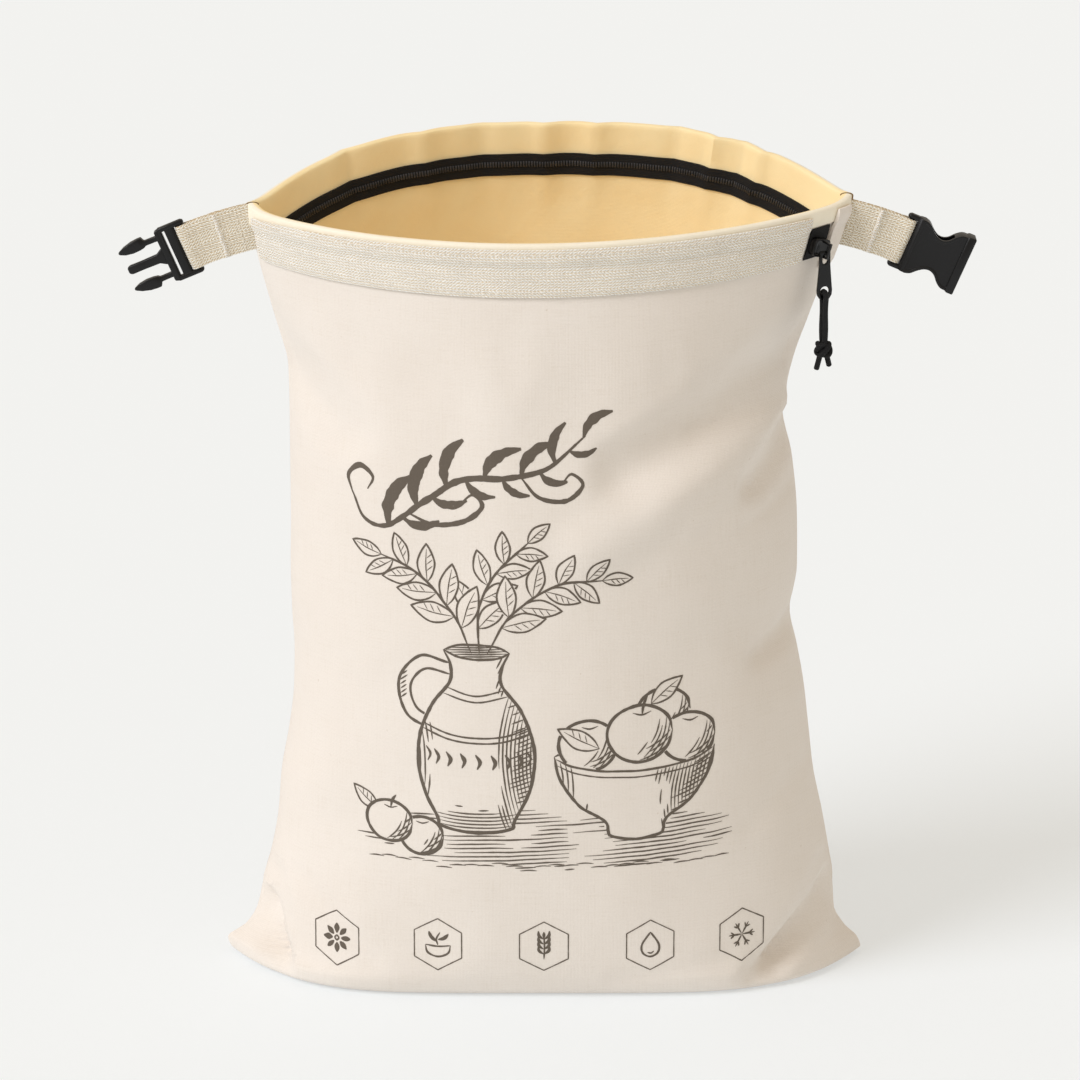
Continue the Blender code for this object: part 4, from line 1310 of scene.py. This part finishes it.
pullCord = {
    "thick": 3, "drop": 24, "knot": (5.2, 4.6, 5), "tail": 8, "wind": 2.8, "lean": 15,
    "length": 0.046,            # metres, of each of the two strands
}
cordArch = slider["pullRise"] - slider["pullLong"] + slider["pullRim"]      # height, from the bail
knotTop = cordArch - pullCord["drop"]
knotMiddle = knotTop - pullCord["knot"][2]


def strandPath(side):
    # from the top of the arch in the pull's hole, down one face of the plate, through the knot
    radius = pullCord["thick"] / 2
    spread = slider["pullThick"] / 2 + bag["gap"] + radius
    close = radius + 0.2
    points = [Vector((0, side * spread * sin(turn), cordArch + spread * cos(turn)))
              for turn in [radians(15 * n) for n in range(7)]]
    for n in range(1, 9):
        share = n / 8
        off = blendOf(spread, close, smooth(share))
        points.append(Vector((0.25 * side * sin(share * 6), side * off,
                              blendOf(cordArch, knotTop, share))))
    root = Vector((1.7 * side, 0, knotMiddle - 2.5))
    for n in range(1, 5):
        share = n / 4
        points.append(Vector((root.x * smooth(share), side * close * (1 - smooth(share)),
                              blendOf(knotTop, root.z, share))))
    long = pullCord["tail"] + (0.75 if side > 0 else -0.5)
    lean = radians(pullCord["lean"] * side)
    for n in range(1, 6):
        reach = long * n / 5
        points.append(root + Vector((sin(lean), 0, -cos(lean))) * reach)
    return [pullPlace() @ point for point in points]


def tube(path, radius, sides=16, loop=False):
    # rings round a path, rounded off at its two ends, with their spots on the cord's skin
    rings, spots = [], []
    travelled = 0
    normal = None
    count = len(path)
    for n, middle in enumerate(path):
        before = path[(n - 1) % count] if loop else path[max(0, n - 1)]
        after = path[(n + 1) % count] if loop else path[min(count - 1, n + 1)]
        along = (after - before).normalized()
        if normal is None:
            normal = along.orthogonal()
        normal = (normal - along * normal.dot(along)).normalized()
        other = along.cross(normal)
        if n:
            travelled += (middle - path[n - 1]).length
        size = radius * 0.65 if not loop and n in (0, count - 1) else radius
        turns = [2 * pi * k / sides for k in range(sides)]
        rings.append([middle + (normal * cos(t) + other * sin(t)) * size for t in turns])
        spots += [(radius * t, travelled) for t in turns]
    return rings, spots


def finePath(points, step=0.7):
    # a smooth line through the points, as even short steps
    line = []
    padded = [points[0] * 2 - points[1]] + points + [points[-1] * 2 - points[-2]]
    for a, b, c, d in zip(padded, padded[1:], padded[2:], padded[3:]):
        count = max(1, round((c - b).length / step))
        line += [curveAt(a, b, c, d, n / count) for n in range(count)]
    return line + [points[-1]]


def hangingCord():
    loop = []
    for n in range(150):        # the cord's turns round the strands in its knot
        turn = 2 * pi * n / 150
        out = pullCord["wind"] + 0.9 * cos(4 * turn)
        loop.append(pullPlace() @ Vector((out * cos(3 * turn), out * 0.9 * sin(3 * turn),
                                          knotMiddle + 3.1 * sin(4 * turn))))
    rings, spots = tube(loop, pullCord["thick"] / 2 * 0.98, 16, True)
    rings.append(rings[0])
    knot = meshPiece("cord_overhand_knot", ringSkin(rings, ends=False), cordBraid,
                     spots + spots[:16])
    mergeDoubles(knot, 0.02)
    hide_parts("cord_knot")
    for label, side in (("front", 1), ("back", -1)):
        path = finePath(strandPath(side))
        rings, spots = tube(path, pullCord["thick"] / 2)
        strand = meshPiece("pull_cord_strand_" + label, ringSkin(rings), cordBraid, spots)
        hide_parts("pull_cord")


# Printed line ornament. Places on the cloth are millimetres from the front middle and up
ink = {
    "rise": 0.2, "edge": 0.14, "sink": 0.15, "step": 1.4, "roundUp": 0.05,
    "outline": 1.75, "fine": 0.85, "wander": 0.35,
    "signs": [("flower", -115.8, 31), ("bowl", -57.3, 33), ("corn", 0.5, 33.6),
              ("drop", 58.5, 33.2), ("frost", 111.4, 34.4)],
    "signSize": 15.2, "signLine": 0.65,
}
strokes = []        # each one is a list of (place, half width)
hiders = []         # outlines of the things drawn so far, which hide what lies behind them


def heading(turn):
    return Vector((cos(radians(turn)), sin(radians(turn))))


def fromTop(turn):
    return Vector((sin(radians(turn)), cos(radians(turn))))


def inside(spot, outline):
    crossed = False
    for a, b in zip(outline, outline[1:] + outline[:1]):
        if (a.y > spot.y) != (b.y > spot.y):
            if spot.x < a.x + (spot.y - a.y) / (b.y - a.y) * (b.x - a.x):
                crossed = not crossed
    return crossed


def hidden(spot):
    for outline, low, high in hiders:
        if low.x < spot.x < high.x and low.y < spot.y < high.y and inside(spot, outline):
            return True
    return False


def hide(outline):
    low = Vector((min(p.x for p in outline), min(p.y for p in outline)))
    high = Vector((max(p.x for p in outline), max(p.y for p in outline)))
    hiders.append((outline, low, high))


def pen(line, wide, taper=0.3, wander=None):
    # one stroke of the brush along a line, thinning to its ends and broken where it is hidden
    wander = ink["wander"] if wander is None else wander
    run = []
    last = max(1, len(line) - 1)
    for n, spot in enumerate(line):
        near = min(n, last - n) / last / taper if taper else 1
        swell = 0.25 + 0.75 * sin(pi / 2 * min(1, near))
        rough = 1 + 0.3 * noise.noise(Vector((spot.x * 0.31, spot.y * 0.31, 9)))
        drift = Vector((noise.noise(Vector((spot.x * 0.08, spot.y * 0.08, 2))),
                        noise.noise(Vector((spot.x * 0.08, spot.y * 0.08, 7)))))
        if hidden(spot):
            strokes.append(run)
            run = []
        else:
            run.append((spot + drift * wander, wide / 2 * swell * rough))
    strokes.append(run)


def curve(points, step=None):
    return finePath([Vector(point) for point in points], step or ink["step"])


def stroke(points, wide, taper=0.3, step=None):
    pen(curve(points, step), wide, taper)


def shade(outline, turn, gap, depth, bend=0, wide=ink["fine"]):
    # hatching inside an outline, where its depth passes a wandering limit
    middle = sum(outline, Vector((0, 0))) / len(outline)
    reach = max((spot - middle).length for spot in outline)
    ahead = heading(turn)
    across = Vector((-ahead.y, ahead.x))
    rows = round(reach / gap)
    steps = round(2 * reach / ink["step"])
    for row in range(-rows, rows + 1):
        run = []
        for n in range(steps + 2):
            along = -reach + ink["step"] * n
            spot = middle + ahead * along + across * (row * gap + bend * along * along / reach)
            limit = 0.5 + 0.35 * noise.noise(Vector((row * 1.7, along * 0.06, turn)))
            if n <= steps and inside(spot, outline) and depth(spot) > limit:
                run.append(spot)
                continue
            if len(run) > 3:
                pen(run, wide, 0.4)
            run = []


def leafShape(root, turn, long, fat):
    ahead = heading(turn)
    across = Vector((-ahead.y, ahead.x))
    root = Vector(root)
    upper = [root + ahead * long * share + across * fat * high
             for share, high in ((0, 0), (0.22, 0.36), (0.5, 0.5), (0.78, 0.3), (1, 0))]
    lower = [root + ahead * long * share - across * fat * high
             for share, high in ((0.8, 0.24), (0.5, 0.42), (0.2, 0.28))]
    outline = finePath(upper, 1.1) + finePath([upper[-1]] + lower + [root], 1.1)[1:-1]
    pen(outline + outline[:1], 1, 0.15)
    stroke([root, root + ahead * long * 0.5 + across * fat * 0.05, root + ahead * long * 0.86],
           0.6, 0.5, 1.1)
    for share in (0.3, 0.46, 0.62):
        start = root + ahead * long * share
        stroke([start, start + ahead * long * 0.12 - across * fat * 0.3], 0.5, 0.5, 1.1)
    hide(outline)


def sprayOf(points, leaves, long, fat):
    # a stem with leaves to either side; leaves first, so that they lie in front of it
    stem = curve(points)
    for n in range(leaves):
        spot = round((0.2 + 0.78 * n / (leaves - 1)) * (len(stem) - 2))
        lead = stem[spot + 1] - stem[spot]
        turn = degrees(atan2(lead.y, lead.x))
        side = 0 if n == leaves - 1 else (46 if n % 2 else -46)
        size = 1 - 0.35 * n / leaves
        leafShape(stem[spot], turn + side, long * size, fat * size)
    pen(stem, 1.3, 0.2)


def swashOrnament():
    # a bold brushed sprig in the upper place: broad strokes with thin joins
    stem = curve([(-104, 284), (-97, 271), (-84, 269), (-66, 282),
                  (-44, 297), (-20, 300), (2, 305), (22, 322)])
    pen(stem, 3.4, 0.45)
    stroke([(-104, 284), (-106, 293), (-99, 299), (-92, 294), (-95, 287)],
           2.6, 0.5)
    stroke([(-72, 277), (-58, 272), (-42, 275), (-32, 284), (-37, 290),
            (-43, 285)], 2.8, 0.45)
    stroke([(-12, 301), (-2, 290), (12, 288), (21, 296), (15, 302),
            (10, 297)], 2.4, 0.45)
    for n in range(13):         # blades to either side, sweeping forward and growing smaller
        spot = round((0.2 + 0.8 * n / 12) * (len(stem) - 2))
        lead = stem[spot + 1] - stem[spot]
        side = 0 if n == 12 else (38 if n % 2 == 0 else -40)
        long = (31 if n % 2 == 0 else 21) * (1 - 0.028 * n)
        angle = atan2(lead.y, lead.x) + radians(side)
        ahead = Vector((cos(angle), sin(angle)))
        bow = Vector((-ahead.y, ahead.x)) * long * copysign(0.16, side)
        stroke([stem[spot], stem[spot] + ahead * long * 0.3 + bow,
                stem[spot] + ahead * long * 0.68 + bow, stem[spot] + ahead * long],
               6.6 * long / 31 + 0.6, 0.5, 1)


def roundFruit(middle, size, stalk=False):
    middle = Vector(middle)
    turns = [radians(30 * n) for n in range(12)]
    shape = [middle + Vector((cos(t) * size * (1.05 + 0.02 * sin(3 * t)),
                              sin(t) * size * 0.94)) for t in turns]
    outline = curve(shape + shape[:1])
    pen(outline, ink["outline"], 0.08)
    outline.pop()
    dip = middle + Vector((size * 0.06, size * 0.62))
    stroke([dip + Vector((-size * 0.3, size * 0.08)), dip, dip + Vector((size * 0.3, size * 0.1))],
           1, 0.5)
    if stalk:
        stroke([dip, dip + Vector((1, size * 0.35)), dip + Vector((3.2, size * 0.6))], 1.5, 0.4)
    shade(outline, 62, 2.1, lambda p: ((p - middle).x - (p - middle).y * 0.6) / size, 0.3)
    shade(outline, 20, 2.4, lambda p: ((p - middle).x - (p - middle).y) / size - 0.25, 0.3)
    hide(outline)


def fruitBowl():
    low, rim, middle = 100, 146, 50
    side = [(-44, rim), (-41, rim - 13), (-31, rim - 28), (-17, low + 8),
            (-15, low + 2), (-13, low - 1)]
    near = [(-43, rim - 1.5), (-30, rim - 7), (0, rim - 10), (30, rim - 7),
            (43, rim - 1.5)]
    shape = side + [(0, low - 3.4)] + [(-x, y) for x, y in side[::-1]]
    body = [Vector((middle + x, y)) for x, y in shape + near[::-1]]
    wall = curve([(middle + x, y) for x, y in shape])
    lip = curve([(middle + x, y) for x, y in near])
    pen(wall, 1.7, 0.05)
    pen(lip, 1.2, 0.1)
    stroke([(middle + x * 0.985, y - 3.6) for x, y in near], 0.8, 0.1)
    outline = wall + lip[::-1]
    shade(outline, 84, 2, lambda p: (p.x - middle) / 34 + 0.1, -0.32)
    shade(outline, 8, 2.2, lambda p: (p.x - middle) / 30 - 0.35 + (low + 22 - p.y) / 60, 0.2)
    shade(outline, 90, 2.6, lambda p: (middle - 18 - p.x) / 26, 0.3)
    hide(body)
    leafShape((middle - 20, rim + 4), 152, 25, 11)
    roundFruit((middle + 2, rim + 11), 17, True)
    roundFruit((middle - 26, rim + 6), 15)
    roundFruit((middle + 29, rim + 6.5), 14.5)
    leafShape((middle + 8, rim + 27), 38, 22, 10)
    roundFruit((middle + 15, rim + 22), 14)
    stroke([(middle - 44, rim), (middle - 30, rim + 6.5), (middle, rim + 9.5),
            (middle + 30, rim + 6.5), (middle + 44, rim)], 1.3, 0.05)


def stoneJug():
    middle, low = -36, 104
    left = [(-17, low + 100), (-13.5, low + 92), (-14, low + 82), (-24, low + 68),
            (-31, low + 48), (-30, low + 26), (-21, low + 5), (-18.5, low)]
    right = [(-x * (1.08 if y > low + 90 else 1), y) for x, y in left[::-1]]
    wall = curve([(middle + x, y) for x, y in left + [(0, low - 3)] + right])
    mouth = curve([(middle + x, low + 100 + y) for x, y in
                   ((-17, 0), (-9, -3.6), (2, -4.4), (12, -3.2), (18.4, 0))])
    outline = wall + mouth[::-1]
    pen(wall, 1.8, 0.05)
    pen(mouth, 1.3, 0.1)
    for high, half in ((low + 79, 15.4), (low + 75.5, 17.4)):
        stroke([(middle - half, high), (middle, high - 4), (middle + half, high)], 0.9, 0.2)
    for high in (low + 58, low + 55):
        stroke([(middle - 28.6, high), (middle - 14, high - 5.4), (middle, high - 6.6),
                (middle + 14, high - 5.4), (middle + 28.6, high)], 1, 0.1)
    for n in range(9):          # a band of small leaves round the shoulder
        turn = radians(-64 + 16 * n)
        root = (middle + 30 * sin(turn), low + 47.5 - 5.6 * cos(turn))
        stroke([root, (root[0] + 2.4, root[1] - 4.2), (root[0] + 0.8, root[1] - 8.4)],
               2.3 * cos(turn * 0.8), 0.5, 1)
    shade(outline, 86, 2.1, lambda p: (p.x - middle) / 24 - 0.02, -0.25)
    shade(outline, 12, 2.3, lambda p: (p.x - middle) / 22 - 0.42, 0.2)
    shade(outline, 96, 2.6, lambda p: (middle - 17 - p.x) / 16, 0.2)
    shade(outline, 2, 2, lambda p: (low + 17 - p.y) / 14, 0.25)
    hide(outline)
    outer = curve([(middle - 14, low + 93), (middle - 30, low + 95),
                   (middle - 42, low + 80), (middle - 38, low + 62),
                   (middle - 26, low + 55)])
    inner = curve([(middle - 13, low + 86.5), (middle - 27, low + 88),
                   (middle - 35.5, low + 78), (middle - 32.5, low + 66),
                   (middle - 24, low + 61)])
    pen(outer, 1.6, 0.05)
    pen(inner, 1.3, 0.1)
    shade(outer + inner[::-1], 40, 1.9, lambda p: (p.x + 74) / -3 + 0.8)
    hide(outer + inner[::-1])
    back = curve([(middle + x, low + 100 + y) for x, y in
                  ((-17, 0), (-9, 3.2), (2, 4), (12, 3), (18.4, 0))])
    sprayOf([(middle - 2, low + 99), (middle - 12, low + 120), (middle - 32, low + 141),
             (middle - 54, low + 149)], 9, 25, 12)
    sprayOf([(middle + 6, low + 99), (middle + 20, low + 122), (middle + 44, low + 138),
             (middle + 70, low + 140)], 9, 24, 11.5)
    sprayOf([(middle + 2, low + 99), (middle + 2, low + 124), (middle + 12, low + 145),
             (middle + 30, low + 163)], 8, 23, 11)
    pen(back, 1.2, 0.1)
    shade(mouth + back[::-1], 4, 1.3, lambda p: 1, 0, 0.9)


def groundShade():
    plot = [Vector(p) for p in ((-104, 92), (-60, 84), (0, 80), (60, 80),
                                (104, 90), (110, 104), (70, 112), (-20, 116),
                                (-84, 112))]
    shade(plot, 3, 2.4, lambda p: 0.45 + 0.5 * noise.noise(Vector((p.x * 0.045, p.y * 0.2, 1)))
          + (0.25 if abs(p.x + 20) < 34 or abs(p.x - 66) < 34 else 0))
    for n in range(26):
        left = -96 + 7.6 * n
        drop = 82 + 5 * noise.noise(Vector((left * 0.2, 3, 0)))
        stroke([(left, drop), (left + 4.5, drop + 0.5), (left + 9, drop + 0.2)], 0.7, 0.4)


def sign(middle, kind):
    middle, size = Vector(middle), ink["signSize"]
    corners = [middle + fromTop(60 * n) * size for n in range(7)]
    for a, b in zip(corners, corners[1:]):
        pen([a.lerp(b, n / 10) for n in range(11)], ink["signLine"], 0, 0)

    def petal(turn, near, far, fat):
        pen([middle + fromTop(turn) * reach for reach in evenly(near, far, 8)], fat, 0.5, 0)

    def line(points, wide, taper=0.2):
        pen(curve([middle + Vector(point) for point in points], 0.7), wide, taper, 0)

    if kind == "corn":
        line([(0, -8), (0.3, 0), (0, 7)], 0.9)
        for n in range(4):
            for side in (-1, 1):
                line([(0.3 * side, -4.6 + 3.1 * n), (2.6 * side, -2.6 + 3.1 * n),
                      (3 * side, 0.4 + 3.1 * n)], 1.9, 0.5)
        petal(0, 5, 9, 1.8)
    elif kind == "bowl":        # with a rising leaf
        line([(-7, -0.6), (-5.6, -5.2), (0, -7.4), (5.6, -5.2), (7, -0.6)], 1.1)
        line([(-7, -0.6), (0, -1.4), (7, -0.6)], 1)
        line([(0, -0.6), (-0.8, 3), (1.2, 7)], 1)
        line([(-0.6, 1.4), (-3.6, 4), (-5, 7.2)], 2.4, 0.5)
        line([(0.2, 2.6), (3.4, 3.6), (5.8, 6.2)], 2.2, 0.5)
    elif kind == "drop":
        line([(0, 8), (4.6, 0.6), (4.2, -4.6), (0, -7), (-4.2, -4.6), (-4.6, 0.6),
              (0, 8)], 1.1, 0.05)
        line([(2, -3.6), (0.4, -4.9), (-1.6, -4.4)], 1, 0.4)
    elif kind == "frost":
        for n in range(6):
            petal(60 * n + 30, 0.4, 7.8, 1.1)
            root = fromTop(60 * n + 30) * 4.4
            for lean in (-38, 38):
                line([root, root + fromTop(60 * n + 30 + lean) * 2.9], 0.9, 0.3)
    else:                       # a flower head
        for n in range(8):
            petal(45 * n, 2.6, 8, 3)
        line([(1.3, 0), (0, 1.3), (-1.3, 0), (0, -1.3), (1.3, 0)], 0.9, 0)


def clothPlace(rows, spot):
    # a point on the canvas for a place on the flat cloth, and the way out of it there
    heights = [row[0] for row in rows]
    high = min(max(bisect.bisect(heights, spot.y) - 1, 0), len(rows) - 2)
    share = (spot.y - heights[high]) / (heights[high + 1] - heights[high])
    column = 0
    for weight, places in ((1 - share, rows[high][1]), (share, rows[high + 1][1])):
        left = min(max(bisect.bisect(places, spot.x) - 1, 0), len(places) - 2)
        part = (spot.x - places[left]) / (places[left + 1] - places[left])
        column += weight * (left + part)
    left = int(column)
    lower, upper = rows[high][2], rows[high + 1][2]
    first = lower[left].lerp(lower[left + 1], column - left)
    second = upper[left].lerp(upper[left + 1], column - left)
    out = (lower[left + 1] - lower[left]).cross(second - first).normalized()
    return first.lerp(second, share), out


def printRows(rings):
    # the front half of each ring, with each point's place from the front middle, where the cloth
    # turns away a little towards the sides
    rows = []
    for ring in rings:
        middle = len(ring) // 4
        front = ring[:middle * 2 + 1]
        places = [point.x * (1 + ink["roundUp"] * (point.x / 130) ** 2) for point in front]
        rows.append((ring[middle].z, places, front))
    return rows


def printedOrnament(rings):
    swashOrnament()
    roundFruit((-84, 103), 12.5, True)
    roundFruit((-66, 97), 11.5)
    leafShape((-90, 108), 140, 19, 9)
    fruitBowl()
    stoneJug()
    groundShade()
    hiders.clear()
    for kind, across, high in ink["signs"]:
        sign((across, high), kind)
    rows = printRows(rings)
    bodies, spots = [], []
    for run in strokes:
        if len(run) < 3:
            continue
        rings = []
        for n, (spot, half) in enumerate(run):
            ring = []
            lead = run[min(n + 1, len(run) - 1)][0] - run[max(n - 1, 0)][0]
            side = Vector((-lead.y, lead.x)).normalized() * half
            for offset, lift in ((side, ink["edge"]), (side * 0, ink["rise"]),
                                 (-side, ink["edge"]), (side * 0, -ink["sink"])):
                point, out = clothPlace(rows, spot + offset)
                ring.append(point + out * lift)
                spots.append(tuple(spot + offset))
            rings.append(ring)
        bodies.append(ringSkin(rings))
    meshPiece("printed_ornament", together(bodies), printInk, spots)
    say("printed ornament, " + str(len(strokes)) + " strokes")


makeStudio()
say("studio")
canvas = cottonCanvas(canvasLook, "cotton_canvas")
printInk = cottonCanvas(inkLook, "printed_textile_ink")
coating = coatedCotton(liningLook, "coated_cotton")
cuffCoating = coatedCotton(cuffLook, "coated_cotton_outside")
webbing = cottonWebbing(bandLook, "cotton_webbing")
strapWeb = cottonWebbing(strapLook, "coarse_cotton_webbing")
zipTape = blackWeave("zip_polyester", 0.6, 0.84, 0, 0.15, "#26272A")
cordBraid = blackWeave("braided_polyester_cord", 0.85, 0.85, 0.785, 0.3, "#2B2C30")
nylon = mouldedBlack("nylon_coil", ("#2A2A2C", "#4A4A4C"), 0.32, 0.5, 0.02)
acetal = mouldedBlack("moulded_acetal", ("#070709", "#0C0C0E"), 0.32, 0.35, 0.03)
enamel = mouldedBlack("black_enamelled_zinc", ("#070709", "#0B0B0D"), 0.24, 0.8, 0.02)
cottonYarn = sewingYarn("cotton_sewing_thread", "#DACDB8", "#F8F1E4")
brownYarn = sewingYarn("waxed_brown_thread", "#5E4524", "#9A7A49")
hangingCord()
say("cord")
clothRows = canvasShell()
say("canvas")
liningShell()
say("lining")
rimWebbing()
cornerPieces()
zipRun()
for side in ("left", "right"):
    strapLoop(side)
    strapFolds(side)
cornerEdges()
bandSeams()
strapSeams()
say("webbing, tapes and stitching")
printedOrnament(clothRows)
prongHalf()
socketHalf()
zipSlider()
zipPull()
say("buckle and zip")
